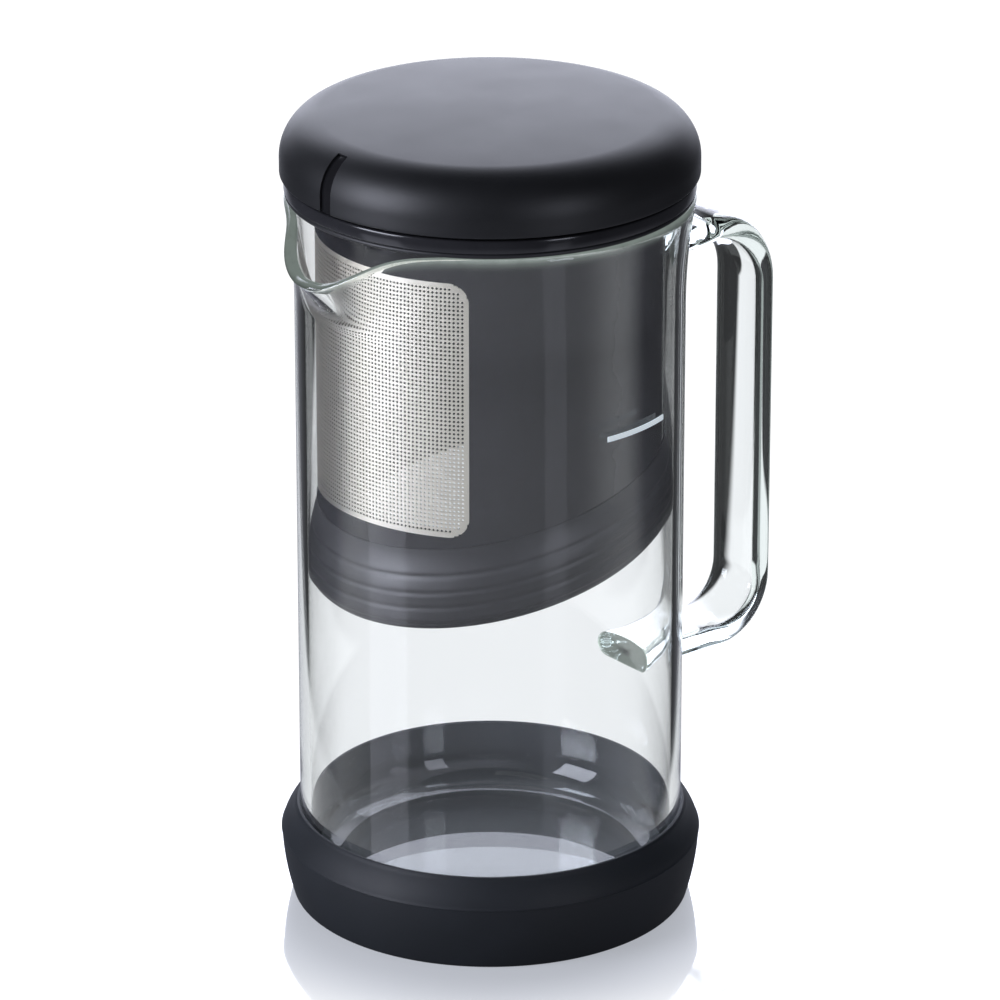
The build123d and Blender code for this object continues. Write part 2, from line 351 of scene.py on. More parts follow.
@dataclass(frozen=True)
class SteelFinish(Finish):
    """Thin rolled steel sheet with fine upright rolling lines."""

    colour: Colour
    shade: Colour
    roughness: float
    line: float
    line_stretch: float = 0.04
    line_depth: float = 0.02 * MM
    line_relief: float = 0.25
    line_roughness: float = 0.18
    patch_lines: int = 60
    patch_share: float = 0.6

    def shader(self, graph: Graph, place: Signal) -> Signal:
        """Rolling lines in roughness and bump, a warm shade in patches.

        Args:
            graph: Node tree of the material.
            place: Object coordinates.

        Returns:
            The surface shader.
        """
        line = graph.noise(graph.stretched(place, self.line_stretch), self.line, 3.0)
        patch = graph.noise(place, self.patch_lines * self.line, 3.0)
        shade = self.patch_share * patch + (1.0 - self.patch_share) * line
        return graph.add("ShaderNodeBsdfPrincipled", {}, {
            "Base Color": graph.mix(shade, self.colour, self.shade),
            "Metallic": 1.0,
            "Roughness": self.roughness + self.line_roughness * (line - NOISE_MEAN),
            "Normal": graph.bump(line, self.line_relief, self.line_depth),
        })


@dataclass(frozen=True)
class InkFinish(Finish):
    """Fired ink, slightly uneven in cover, with a painted glow in its own colour."""

    colour: Colour
    thin: Colour
    speck: float = 0.5 * MM
    pile: float = 0.02 * MM
    pile_relief: float = 0.3
    thin_range: Point = (0.35, 0.75)
    roughness: float = 0.35
    spread: float = 0.2
    # Strength of the painted glow in the ink's own colour
    glow: float = 0.4

    def shader(self, graph: Graph, place: Signal) -> Signal:
        """Thin spots in the colour, a painted glow in the ink's colour, and a faint pile in the bump.

        Args:
            graph: Node tree of the material.
            place: Object coordinates.

        Returns:
            The surface shader.
        """
        speck = graph.noise(place, self.speck, 3.0)
        return graph.add("ShaderNodeBsdfPrincipled", {}, {
            "Base Color": graph.mix(graph.span(speck, *self.thin_range), self.colour, self.thin),
            "Roughness": self.roughness + self.spread * speck,
            "Emission Color": self.colour,
            "Emission Strength": self.glow,
            "Normal": graph.bump(speck, self.pile_relief, self.pile),
        })


# The last colour is the painted glow at the glass's cut edges
GLASS = GlassFinish("clear_glass", (0.52, 0.86, 0.72, 1.0), 9.0, 1.474, 22 * MM, 0.012 * MM,
                    (0.165, 0.195, 0.18, 1.0))
PRINT = InkFinish("white_print", (0.80, 0.88, 0.90, 1.0), (0.66, 0.76, 0.80, 1.0))
SLEEVE_SILICONE = MouldedFinish("sleeve_silicone", (0.0032, 0.0055, 0.0086, 1.0),
                                (0.0055, 0.0082, 0.0125, 1.0), 0.62, 0.16, 0.28 * MM, 0.03 * MM)
SEAL_SILICONE = MouldedFinish("seal_silicone", (0.012, 0.012, 0.014, 1.0), (0.018, 0.018, 0.020, 1.0),
                              0.48, 0.14, 0.35 * MM, 0.015 * MM)
LID_PLASTIC = MouldedFinish("lid_plastic", (0.0055, 0.006, 0.007, 1.0), (0.008, 0.0084, 0.0096, 1.0),
                            0.47, 0.08, 0.22 * MM, 0.025 * MM)
GLOSS_PLASTIC = MouldedFinish("gloss_plastic", (0.018, 0.018, 0.0205, 1.0), (0.023, 0.023, 0.0255, 1.0),
                              0.14, 0.10, 1.4 * MM, 0.0015 * MM)
STRIP_PLASTIC = MouldedFinish("strip_plastic", (0.008, 0.008, 0.009, 1.0), (0.011, 0.011, 0.012, 1.0),
                              0.10, 0.06, 0.60 * MM, 0.002 * MM)
MESH_STEEL = SteelFinish("mesh_steel", (0.97, 0.93, 0.85, 1.0), (0.88, 0.84, 0.75, 1.0), 0.32, 0.25 * MM)


# Mesh drafts

def polar(turn: float, radius: float, height: float) -> Vector:
    """Point at an angle from the lip, counted towards -Y, at this radius and height."""
    return Vector((-radius * math.cos(turn), -radius * math.sin(turn), height))


def arc(centre: Point, radius: float, first: float, last: float, steps: int) -> list[Point]:
    """Points of an arc in a section.

    Args:
        centre: Radius and height of its centre.
        radius: Radius of the arc.
        first: First angle in degrees, 0 pointing outwards and 90 up.
        last: Last angle in degrees.
        steps: Number of stretches between the points.

    Returns:
        The points from the first angle to the last, both included.
    """
    angles = [math.radians(first + (last - first) * step / steps) for step in range(steps + 1)]
    return [(centre[0] + radius * math.cos(a), centre[1] + radius * math.sin(a)) for a in angles]


def spread(first: float, last: float, steps: int) -> list[float]:
    """Evenly spaced values from the first to the last, both included."""
    return [first + (last - first) * step / steps for step in range(steps + 1)]


def whole_turn(columns: int) -> list[float]:
    """Angles of a full turn, without the last one that repeats the first."""
    return spread(0.0, FULL_TURN, columns)[:-1]


def rounded(across: float, along: float, width: float, height: float, corner: float) -> Point:
    """Draws a point on or outside a rounded rectangle in to its outline.

    Args:
        across: Place across, from the middle.
        along: Place along, from the middle.
        width: Half the rectangle's width.
        height: Half its height.
        corner: Radius of its corners.

    Returns:
        The place across and along on the outline's corner, or the point itself.
    """
    past = Vector((max(abs(across) - width + corner, 0.0), max(abs(along) - height + corner, 0.0)))
    if past.length <= corner:
        return across, along
    past *= corner / past.length
    return math.copysign(width - corner + past.x, across), math.copysign(height - corner + past.y, along)


class Draft:
    """Points and faces of a mesh in the making."""

    def __init__(self) -> None:
        """Starts without points."""
        self.points: list[Vector] = []
        self.faces: list[tuple[int, ...]] = []
        self.edges: dict[int, float] = {}

    def ring(self, points: Iterable[Vector], edge: float = 0.0) -> list[int]:
        """Adds points.

        Args:
            points: The points.
            edge: Their share in the painted glow at a cut glass edge.

        Returns:
            Their numbers.
        """
        first = len(self.points)
        self.points.extend(points)
        numbers = list(range(first, len(self.points)))
        if edge:
            self.edges.update(dict.fromkeys(numbers, edge))
        return numbers

    def bridge(self, low: Sequence[int], high: Sequence[int]) -> None:
        """Adds a row of faces between two closed rings.

        Args:
            low: Numbers of the first ring.
            high: Numbers of the second ring, as many.
        """
        count = len(low)
        for here in range(count):
            after = (here + 1) % count
            self.faces.append((low[here], low[after], high[after], high[here]))

    def skin(self, rings: Sequence[Sequence[int]], looped: bool = False) -> None:
        """Bridges each ring to the next one.

        Args:
            rings: Numbers of the rings, in order.
            looped: Whether the last ring is bridged to the first.
        """
        for low, high in zip(rings, rings[1:]):
            self.bridge(low, high)
        if looped:
            self.bridge(rings[-1], rings[0])

    def fan(self, ring: Sequence[int], centre: Vector) -> None:
        """Closes a ring with faces to a centre.

        Args:
            ring: Numbers of the ring.
            centre: The point in its middle.
        """
        tip = self.ring([centre])[0]
        for here, after in zip(ring, [*ring[1:], ring[0]]):
            self.faces.append((here, after, tip))

    def cap_ends(self, rings: Sequence[Sequence[int]]) -> None:
        """Closes the first and the last ring with one face each."""
        self.faces += [tuple(rings[0]), tuple(rings[-1])]

    def lathe(self, section: Callable[[float], list[Point]], turns: Sequence[float],
              edge: Callable[[int], float] = lambda row: 0.0) -> None:
        """Skins sections around the axis.

        Args:
            section: Gives the radii and heights of the section at an angle. It starts and ends
                on the axis, or else it is a closed loop that stays off the axis.
            turns: The angles.
            edge: Share of each row of points in the painted glow at a cut glass edge.
        """
        sections = [section(turn) for turn in turns]
        looped = sections[0][0][0] > 0.0
        rows = range(len(sections[0])) if looped else range(1, len(sections[0]) - 1)
        rings = [self.ring([polar(turn, *points[row]) for turn, points in zip(turns, sections)], edge(row))
                 for row in rows]
        self.skin(rings, looped)
        if not looped:
            self.fan(rings[0], polar(0.0, *sections[0][0]))
            self.fan(rings[-1], polar(0.0, *sections[0][-1]))

    def sector(self, radii: Point, heights: Point, turns: Sequence[float]) -> None:
        """Adds a closed piece of a ring.

        Args:
            radii: Its inner and outer radius.
            heights: Its lower and upper height.
            turns: The angles of its sections.
        """
        (inner, outer), (low, high) = radii, heights
        corners = [(inner, low), (outer, low), (outer, high), (inner, high)]
        rings = [self.ring(polar(turn, *corner) for corner in corners) for turn in turns]
        self.skin(rings)
        self.cap_ends(rings)

    def piece(self, name: str, finish: Finish, crease: float = 35.0) -> bpy.types.Object:
        """Makes the mesh object.

        Args:
            name: Name of the object.
            finish: Finish of all its faces.
            crease: Edges that turn more than this many degrees stay sharp.

        Returns:
            The new object, linked to the scene.
        """
        mesh = bpy.data.meshes.new(name)
        mesh.from_pydata(self.points, [], self.faces)
        work = bmesh.new()
        work.from_mesh(mesh)
        bmesh.ops.recalc_face_normals(work, faces=work.faces)
        work.to_mesh(mesh)
        work.free()
        if self.edges:
            share = mesh.attributes.new(PAINTED_GLOW, "FLOAT", "POINT")
            for number, value in self.edges.items():
                share.data[number].value = value
        return shown(mesh, finish.material(), crease)


def shown(mesh: bpy.types.Mesh, material: bpy.types.Material, crease: float) -> bpy.types.Object:
    """Links a mesh as an object of the same name.

    Args:
        mesh: The mesh, which is shaded smooth.
        material: Its one material.
        crease: Edges that turn more than this many degrees stay sharp.

    Returns:
        The new object.
    """
    mesh.shade_smooth()
    mesh.set_sharp_from_angle(angle=math.radians(crease))
    mesh.materials.clear()
    mesh.materials.append(material)
    piece = bpy.data.objects.new(mesh.name, mesh)
    bpy.context.scene.collection.objects.link(piece)
    return piece


def settle(piece: bpy.types.Object, body: Body, slot: Slot, node: str) -> None:
    """Sets a finished piece in the frame and reports it.

    Args:
        piece: The finished piece.
        body: The body that it moves with.
        slot: Its material slot; not used.
        node: The solid that it stands for.
    """
    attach(piece, body.value)
    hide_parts(node)
    LOG.info("%s rides on %s, %d faces", piece.name, body.value, len(piece.data.polygons))


@lru_cache(maxsize=None)
def box_of(node: str) -> tuple[Vector, Vector]:
    """Box of a solid, measured once."""
    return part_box(node)


def low_of(node: str) -> float:
    """Lowest height of a solid."""
    return box_of(node)[0].z


def high_of(node: str) -> float:
    """Highest height of a solid."""
    return box_of(node)[1].z


# Sub-assemblies

@dataclass
class Jug:
    """Glass jug with its handle, fill mark and base sleeve."""

    radius: float = 47.5 * MM
    wall: float = 2.5 * MM
    foot_corner: float = 7.0 * MM
    floor_corner: float = 10.0 * MM
    floor_thickness: float = 5.0 * MM
    floor_hollow: float = 0.25 * MM
    floor_dome: float = 0.3 * MM
    rim_flare: float = 2.5 * MM
    flare_height: float = 28.0 * MM
    flare_rows: int = 30
    wall_rows: int = 6
    underside_rows: int = 10
    foot_steps: int = 8
    floor_rows: int = 16
    rim_steps: int = 10
    rim_tries: int = 12
    painted_rim_glow_rows: float = 5.0
    lip_reach: float = 11.0 * MM
    lip_height: float = 14.0 * MM
    lip_dip: float = 10.0 * MM
    lip_dip_inset: float = 12.0 * MM
    lip_growth: float = 1.35
    lip_spread: float = math.radians(14.5)
    columns: int = 288
    strap_width: float = 18.0 * MM
    strap_thickness: float = 6.6 * MM
    strap_crown: float = 0.35 * MM
    strap_steps: int = 12
    bend_steps: int = 14
    bar_steps: int = 10
    upper_bend: float = 17.0 * MM
    lower_bend: float = 14.0 * MM
    upper_foot: float = 159.5 * MM
    lower_foot: float = 51.0 * MM
    upper_rise: float = 1.5 * MM
    foot_sink: float = 1.2 * MM
    foot_flare: float = 0.12
    foot_fade: float = 3.2 * MM
    foot_rings: Point = (0.7, 0.35)
    glass_crease: float = 60.0
    mark_turn: float = math.radians(98.5)
    mark_span: float = math.radians(24.7)
    mark_thickness: float = 0.2 * MM
    mark_columns: int = 24

    def build(self) -> None:
        """Builds the four pieces of the jug."""
        self.glass()
        self.handle()
        self.mark()
        Sleeve(self.radius, self.foot_corner).build()

    @property
    def flare_start(self) -> float:
        """Height at which the wall starts to flare."""
        return high_of("glass_jug") - self.flare_height

    def lip_at(self, height: float) -> float:
        """How far the lip stands out past the round wall.

        Args:
            height: Height above the table.

        Returns:
            The reach at the tip of the lip.
        """
        start = high_of("glass_jug") - self.lip_dip - self.lip_height
        rise = max(0.0, (height - start) / self.lip_height)
        return self.lip_reach * rise ** self.lip_growth

    def wall_at(self, turn: float, height: float, inset: float = 0.0) -> float:
        """Radius of the wall.

        Args:
            turn: Angle from the lip.
            height: Height above the table.
            inset: How far inside the outer face.

        Returns:
            The radius there, with the flare and the lip.
        """
        flare = max(0.0, 1.0 + (height - high_of("glass_jug")) / self.flare_height)
        swell = self.lip_at(height) * math.exp(-(turn / self.lip_spread) ** 2)
        radius = self.radius + self.rim_flare * flare ** 2 + swell
        if not inset:
            return radius
        around = 2 * turn / self.lip_spread ** 2 * swell / radius
        lean = (self.wall_at(turn, height + MM) - self.wall_at(turn, height - MM)) / (2 * MM)
        return radius - inset * math.hypot(1.0, around, lean)

    def rim_at(self, turn: float) -> float:
        """Height of the rim, which falls along an arc towards the tip of the lip.

        Args:
            turn: Angle from the lip.

        Returns:
            The height of the rim's top, found step by step because wall and rim depend on each other.
        """
        rim = high_of("glass_jug")
        start = self.radius - self.lip_dip_inset
        run = self.lip_reach + self.lip_dip_inset
        fall_radius = (run ** 2 + self.lip_dip ** 2) / (2 * self.lip_dip)
        height = rim
        for _ in range(self.rim_tries):
            past = self.wall_at(turn, height) * math.cos(turn) - start
            past = min(max(past, 0.0), run)
            height = (height + rim - fall_radius + math.sqrt(fall_radius ** 2 - past ** 2)) / 2
        return height

    def foot_points(self) -> list[Point]:
        """Lower part of the section, outside.

        Returns:
            Its points, from the middle of the underside up to the flare.
        """
        base = low_of("glass_jug")
        foot = self.radius - self.foot_corner
        bend = base + self.foot_corner
        points = [(share * foot, base + self.floor_hollow * (1 - share ** 2) ** 2)
                  for share in spread(0, 1, self.underside_rows)]
        points += arc((foot, bend), self.foot_corner, -90, 0, self.foot_steps)[1:]
        points += [(self.radius, height) for height in spread(bend, self.flare_start, self.wall_rows)[1:-1]]
        return points

    def floor_points(self) -> list[Point]:
        """Lower part of the section, inside.

        Returns:
            Its points, from the flare down to the middle of the floor.
        """
        floor = low_of("glass_jug") + self.floor_thickness
        bore = self.radius - self.wall
        flat = bore - self.floor_corner
        bend = floor + self.floor_corner
        points = [(bore, height) for height in spread(self.flare_start, bend, self.wall_rows)[1:-1]]
        points += arc((flat, bend), self.floor_corner, 0, -90, self.floor_rows)
        points += [(share * flat, floor + self.floor_dome * (1 - share ** 3))
                   for share in spread(1, 0, self.floor_rows)[1:]]
        return points

    def rim_points(self, turn: float, top: float) -> list[Point]:
        """Round edge of the rim.

        Args:
            turn: Angle from the lip.
            top: Height at which the wall ends and the round starts.

        Returns:
            Its points, from the outside to the inside.
        """
        outer, inner = self.wall_at(turn, top), self.wall_at(turn, top, self.wall)
        middle, half = (outer + inner) / 2, (outer - inner) / 2
        return [(middle + half * math.cos(angle), top + self.wall / 2 * math.sin(angle))
                for angle in spread(0, math.pi, self.rim_steps)[1:-1]]

    def glass_section(self, turn: float) -> list[Point]:
        """Section of the glass.

        Args:
            turn: Angle from the lip.

        Returns:
            Its points, from the middle of the underside over the rim to the middle of the floor.
        """
        turn = math.remainder(turn, FULL_TURN)
        top = self.rim_at(turn) - self.wall / 2
        heights = spread(self.flare_start, top, self.flare_rows)
        outside = [(self.wall_at(turn, height), height) for height in heights]
        inside = [(self.wall_at(turn, height, self.wall), height) for height in reversed(heights)]
        return self.foot_points() + outside + self.rim_points(turn, top) + inside + self.floor_points()

    def glass(self) -> None:
        """Glass body, with the flared rim and the drawn lip."""
        heights = [height for _, height in self.glass_section(math.pi)]
        rim = heights.index(max(heights))
        draft = Draft()
        # Rows near the top of the rim carry the painted edge glow
        draft.lathe(self.glass_section, whole_turn(self.columns),
                    lambda row: math.exp(-((row - rim) / self.painted_rim_glow_rows) ** 4))
        piece = draft.piece("jug_glass", GLASS, self.glass_crease)
        piece.visible_shadow = False
        settle(piece, Body.JUG, Slot.GLASS, "glass_jug")

    def strap_path(self) -> list[Vector]:
        """Middle line of the handle.

        Returns:
            Its points, from the upper foot to the lower one.
        """
        bar = box_of("glass_handle")[1].x - self.strap_thickness / 2
        wall = self.radius - self.foot_sink
        upper = self.upper_foot + self.upper_rise
        slope = self.upper_rise / (bar - self.radius)
        upper_start, lower_start = bar - self.upper_bend, bar - self.lower_bend
        bar_top, bar_foot = upper - self.upper_bend, self.lower_foot + self.lower_bend
        line = [(x, upper - slope * (bar - x)) for x in spread(wall, upper_start, self.strap_steps)]
        line += arc((upper_start, bar_top), self.upper_bend, 88, 0, self.bend_steps)
        line += [(bar, z) for z in spread(bar_top, bar_foot, self.bar_steps)[1:-1]]
        line += arc((lower_start, bar_foot), self.lower_bend, 0, -90, self.bend_steps)
        line += [(x, self.lower_foot) for x in spread(lower_start, wall, self.strap_steps)[1:]]
        return [Vector((x, 0.0, z)) for x, z in line]

    def strap_section(self) -> list[Point]:
        """Section of the strap, with faces a little crowned and round edges.

        Returns:
            Its places across and through the strap, all the way round.
        """
        end = self.strap_thickness / 2 - self.strap_crown
        flat = self.strap_width / 2 - end
        face = [(flat * share, end + self.strap_crown * (1 - share ** 2))
                for share in spread(-1, 1, self.strap_steps)]
        half = face + arc((flat, 0.0), end, 90, -90, self.strap_steps)[1:-1]
        return half + [(-across, -up) for across, up in half]

    def strap_ring(self, middle: Vector, along: Vector) -> list[Vector]:
        """Outline of the strap at a place on its path, drawn out near the wall.

        Args:
            middle: The place on the path.
            along: Direction of the path there.

        Returns:
            The points around the strap.
        """
        outward = Vector((-along.z, 0.0, along.x))
        gap = max(0.0, middle.x - self.radius)
        size = 1 + self.foot_flare * math.exp(-(gap / self.foot_fade) ** 2)
        return [middle + outward * up * size + Vector((0, across * size, 0))
                for across, up in self.strap_section()]

    def handle(self) -> None:
        """Solid glass strap whose feet are drawn out onto the wall."""
        path = self.strap_path()
        end = len(path) - 1
        draft = Draft()
        rings = []
        for number, middle in enumerate(path):
            along = (path[min(number + 1, end)] - path[max(number - 1, 0)]).normalized()
            ring = self.strap_ring(middle, along)
            # The end rings at the feet carry the full painted edge glow
            if number in (0, end):
                rings.append(draft.ring([self.on_wall(point) for point in ring], 1.0))
            else:
                rings.append(draft.ring(ring))
        draft.skin(rings)
        # The feet's end faces carry the full painted edge glow
        for ring, middle in ((rings[0], path[0]), (rings[-1], path[-1])):
            outer = ring
            for share in self.foot_rings:
                points = [self.on_wall(middle.lerp(draft.points[number], share)) for number in ring]
                inner = draft.ring(points, 1.0)
                draft.bridge(outer, inner)
                outer = inner
            draft.fan(outer, self.on_wall(middle))
        piece = draft.piece("handle_glass", GLASS, self.glass_crease)
        piece.visible_shadow = False
        settle(piece, Body.JUG, Slot.GLASS, "glass_handle")

    def on_wall(self, point: Vector) -> Vector:
        """Moves a point along X to where the handle's feet end in the wall."""
        seat = self.radius - self.foot_sink
        return Vector((math.sqrt(seat ** 2 - point.y ** 2), point.y, point.z))

    def mark(self) -> None:
        """Printed fill mark on the outside of the wall."""
        half = self.mark_span / 2
        draft = Draft()
        draft.sector((self.radius, self.radius + self.mark_thickness),
                     (low_of("fill_mark"), high_of("fill_mark")),
                     spread(self.mark_turn - half, self.mark_turn + half, self.mark_columns))
        settle(draft.piece("mark_print", PRINT), Body.JUG, Slot.PRINT, "fill_mark")


@dataclass
class Sleeve:
    """Silicone cup that the jug stands in."""

    glass_radius: float
    glass_corner: float
    foot_wall: float = 2.1 * MM
    belly_wall: float = 4.8 * MM
    lip_wall: float = 1.0 * MM
    lip_drop: float = 2.0 * MM
    belly_height: float = 16.8 * MM
    crown: float = 0.5 * MM
    foot_round: float = 1.5 * MM
    lip_round: float = 0.45 * MM
    seam_height: float = 0.16 * MM
    seam_width: float = 0.45 * MM
    seat: float = 0.05 * MM
    foot_lean: float = 8.0
    lip_lean: float = 15.0
    foot_steps: int = 6
    lower_rows: int = 12
    upper_rows: int = 10
    lip_steps: int = 5
    seat_steps: int = 8
    crease: float = 40.0
    columns: int = 256

    def bowed(self, first: Point, last: Point, steps: int) -> list[Point]:
        """Points from the first to the last on a line that bows outwards."""
        return [(first[0] + (last[0] - first[0]) * t + 4 * self.crown * t * (1 - t),
                 first[1] + (last[1] - first[1]) * t) for t in spread(0, 1, steps)]

    def section(self, turn: float) -> list[Point]:
        """Section of the sleeve, widest at its parting line.

        Args:
            turn: Angle from the lip; not used, as the section is the same all the way round.

        Returns:
            Its points, from the middle of the underside to the middle of the seat.
        """
        top = high_of("base_sleeve") - self.lip_drop
        floor = low_of("glass_jug")
        foot = self.glass_radius + self.foot_wall
        belly = self.glass_radius + self.belly_wall - self.seam_height
        lip = self.glass_radius + self.lip_wall
        seat = self.glass_radius + self.seat
        corner = self.glass_corner + self.seat
        half_seam = self.seam_width / 2
        points = [(0.0, 0.0), (0.5 * foot, 0.0)]
        points += arc((foot - self.foot_round, self.foot_round), self.foot_round,
                      -90, -self.foot_lean, self.foot_steps)
        points += self.bowed(points[-1], (belly, self.belly_height - half_seam), self.lower_rows)[1:]
        points += [(belly + self.seam_height, self.belly_height - half_seam / 3),
                   (belly + self.seam_height, self.belly_height + half_seam / 3)]
        points += self.bowed((belly, self.belly_height + half_seam), (lip, top - self.lip_round),
                             self.upper_rows)
        points += arc((lip - self.lip_round, top - self.lip_round), self.lip_round,
                      self.lip_lean, 90, self.lip_steps)
        points += [(seat + self.lip_round / 2, top), (seat, top - self.lip_round / 2)]
        points += arc((seat - corner, floor + corner), corner, 0, -90, self.seat_steps)
        points += [(0.5 * (seat - corner), floor), (0.0, floor)]
        return points

    def build(self) -> None:
        """Builds the sleeve."""
        draft = Draft()
        draft.lathe(self.section, whole_turn(self.columns))
        settle(draft.piece("sleeve", SLEEVE_SILICONE, self.crease), Body.JUG, Slot.SILICONE, "base_sleeve")


@dataclass
class RimSeal:
    """Flat gasket on the glass rim, which carries the filter."""

    outer: float = 49.6 * MM
    inner: float = 42.7 * MM
    round_steps: int = 6
    columns: int = 192

    def section(self, turn: float) -> list[Point]:
        """Section with a round outer edge.

        Args:
            turn: Angle from the lip; not used, as the section is the same all the way round.

        Returns:
            Its points, around the ring.
        """
        low, high = low_of("rim_gasket"), high_of("rim_gasket")
        half = (high - low) / 2
        edge = arc((self.outer - half, low + half), half, -90, 90, self.round_steps)
        return [(self.inner, high), (self.inner, low), *edge]

    def build(self) -> None:
        """Builds the gasket."""
        draft = Draft()
        draft.lathe(self.section, whole_turn(self.columns))
        settle(draft.piece("rim_ring", SEAL_SILICONE), Body.RIM_SEAL, Slot.SILICONE, "rim_gasket")


@dataclass
class Filter:
    """Filter tube with its flange, mesh window and skirt."""

    radius: float = 42.4 * MM
    wall: float = 2.0 * MM
    slant: float = math.radians(14.6)
    end_on_axis: float = 102.5 * MM
    flange_radius: float = 49.8 * MM
    flange_thickness: float = 3.4 * MM
    flange_round: float = 0.5 * MM
    window_turn: float = math.radians(43.4)
    window_corner: float = 5.0 * MM
    window_border: float = 1.1 * MM
    window_cells: int = 44
    outside_columns: int = 132
    lower_rows: int = 10
    upper_rows: int = 6
    sheet_thickness: float = 0.4 * MM
    sheet_seat: float = 0.05 * MM
    hole_columns: int = 63
    hole_rows: int = 62
    hole_radius: float = 0.30 * MM
    hole_border: float = 1.3 * MM
    ledge_reach: float = 1.5 * MM
    ledge_low: float = 181.7 * MM
    ledge_height: float = 2.3 * MM
    ledge_span: float = math.radians(50.0)
    ledge_count: int = 3
    ledge_columns: int = 16
    stop_low: float = 178.5 * MM
    stop_span: float = math.radians(3.0)
    stop_columns: int = 2
    skirt_on_axis: float = 96.6 * MM
    skirt_height: float = 20.2 * MM
    skirt_top: float = 42.6 * MM
    skirt_lip: float = 44.8 * MM
    skirt_foot: float = 43.0 * MM
    skirt_inside: float = 42.1 * MM
    skirt_lip_low: float = 3.4 * MM
    skirt_lip_high: float = 9.0 * MM
    skirt_draw: float = 1.6
    skirt_creases: tuple[float, ...] = (2.0 * MM, 6.2 * MM, 10.0 * MM, 13.9 * MM)
    crease_depth: float = 0.28 * MM
    crease_width: float = 0.75 * MM
    skirt_rows: int = 48
    skirt_columns: int = 256
    skirt_crease: float = 50.0

    def build(self) -> None:
        """Builds the three pieces of the filter."""
        self.tube()
        self.mesh()
        self.skirt()

    @property
    def bore(self) -> float:
        """Inside radius of the tube."""
        return self.radius - self.wall

    @property
    def window_middle(self) -> float:
        """Height of the window's middle."""
        return (low_of("filter_mesh") + high_of("filter_mesh")) / 2

    @property
    def window_half(self) -> float:
        """Half the height of the sheet in the window."""
        return (high_of("filter_mesh") - low_of("filter_mesh")) / 2

    @property
    def window_across(self) -> float:
        """Half the width of the sheet, along the wall."""
        return self.radius * self.window_turn

    @property
    def window_rows(self) -> range:
        """Rows of faces that the window leaves out on the outside of the wall."""
        return range(self.lower_rows, self.lower_rows + self.window_cells)

    def slanted(self, on_axis: float, turn: float, radius: float) -> float:
        """Height of a plane parallel to the tube's end, at this angle and radius."""
        return on_axis - math.tan(self.slant) * radius * math.cos(turn)

    def column_heights(self, turn: float, radius: float, top: float) -> list[float]:
        """Heights of the points in a column of the wall.

        Args:
            turn: Angle from the lip.
            radius: Radius of this face of the wall.
            top: Height of the last point.

        Returns:
            The heights, from the slanted end past the window to the top.
        """
        low, high = low_of("filter_mesh"), high_of("filter_mesh")
        start = self.slanted(self.end_on_axis, turn, radius)
        rows = spread(start, low, self.lower_rows)[:-1] + spread(low, high, self.window_cells)
        return rows + spread(high, top, self.upper_rows)[1:]

    def tube(self) -> None:
        """Tube with the window, its sunk seat for the sheet, the flange and the bayonet ledges."""
        top = high_of("filter_tube")
        low = top - self.flange_thickness
        edge = self.flange_radius - self.flange_round
        flange = [(edge, low)]
        flange += arc((edge, low + self.flange_round), self.flange_round, -90, 0, SMALL_ROUND)[1:]
        flange += arc((edge, top - self.flange_round), self.flange_round, 0, 90, SMALL_ROUND)
        turns = spread(-self.window_turn, self.window_turn, self.window_cells)
        turns += spread(self.window_turn, FULL_TURN - self.window_turn, self.outside_columns)[1:-1]
        draft = Draft()
        columns = []
        for turn in turns:
            outside = [(self.radius, z) for z in self.column_heights(turn, self.radius, low)]
            inside = [(self.bore, z) for z in reversed(self.column_heights(turn, self.bore, top))]
            columns.append(draft.ring(polar(turn, *point) for point in outside + flange + inside))
        count = len(columns[0])
        for number, column in enumerate(columns):
            after = columns[(number + 1) % len(columns)]
            for row in range(count):
                opposite = count - 2 - row
                if number < self.window_cells and (row in self.window_rows or opposite in self.window_rows):
                    continue
                following = (row + 1) % count
                draft.faces.append((column[row], after[row], after[following], column[following]))
        self.frame_window(draft, columns)
        self.ledges(draft)
        settle(draft.piece("tube", GLOSS_PLASTIC), Body.FILTER, Slot.GLOSS, "filter_tube")

    def frame_window(self, draft: Draft, columns: list[list[int]]) -> None:
        """Rounds the window's corners and closes the tube's wall around it.

        Args:
            draft: The tube's draft.
            columns: Its point numbers, column by column.
        """
        cells, count = self.window_cells, len(columns[0])
        first, last = self.window_rows.start, self.window_rows.stop
        loop = [(0, row) for row in range(first, last)] + [(column, last) for column in range(cells)]
        loop += [(cells, row) for row in range(last, first, -1)]
        loop += [(column, first) for column in range(cells, 0, -1)]
        seat = self.radius - self.sheet_thickness - self.sheet_seat
        border, middle = self.window_border, self.window_middle
        large = (self.window_across, self.window_half, self.window_corner)
        small = tuple(size - border for size in large)
        rings: list[list[int]] = [[], [], [], []]
        for column, row in loop:
            share = (2 * column / cells - 1, 2 * (row - first) / cells - 1)
            wide = rounded(share[0] * large[0], share[1] * large[1], *large)
            narrow = rounded(share[0] * small[0], share[1] * small[1], *small)
            outside = columns[column][row]
            inside = columns[column][count - 1 - row]
            draft.points[outside] = polar(wide[0] / self.radius, self.radius, middle + wide[1])
            draft.points[inside] = polar(narrow[0] / self.radius, self.bore, middle + narrow[1])
            ledge = draft.ring([polar(wide[0] / self.radius, seat, middle + wide[1]),
                                polar(narrow[0] / self.radius, seat, middle + narrow[1])])
            for ring, number in zip(rings, (outside, *ledge, inside)):
                ring.append(number)
        draft.skin(rings)

    def ledges(self, draft: Draft) -> None:
        """Adds the ledges and stops of the bayonet inside the tube.

        Args:
            draft: The tube's draft.
        """
        radii = (self.bore - self.ledge_reach, self.bore)
        top = self.ledge_low + self.ledge_height
        for number in range(self.ledge_count):
            start = number * FULL_TURN / self.ledge_count - self.ledge_span / 2
            end = start + self.ledge_span
            draft.sector(radii, (self.ledge_low, top), spread(start, end, self.ledge_columns))
            draft.sector(radii, (self.stop_low, top), spread(end, end + self.stop_span, self.stop_columns))

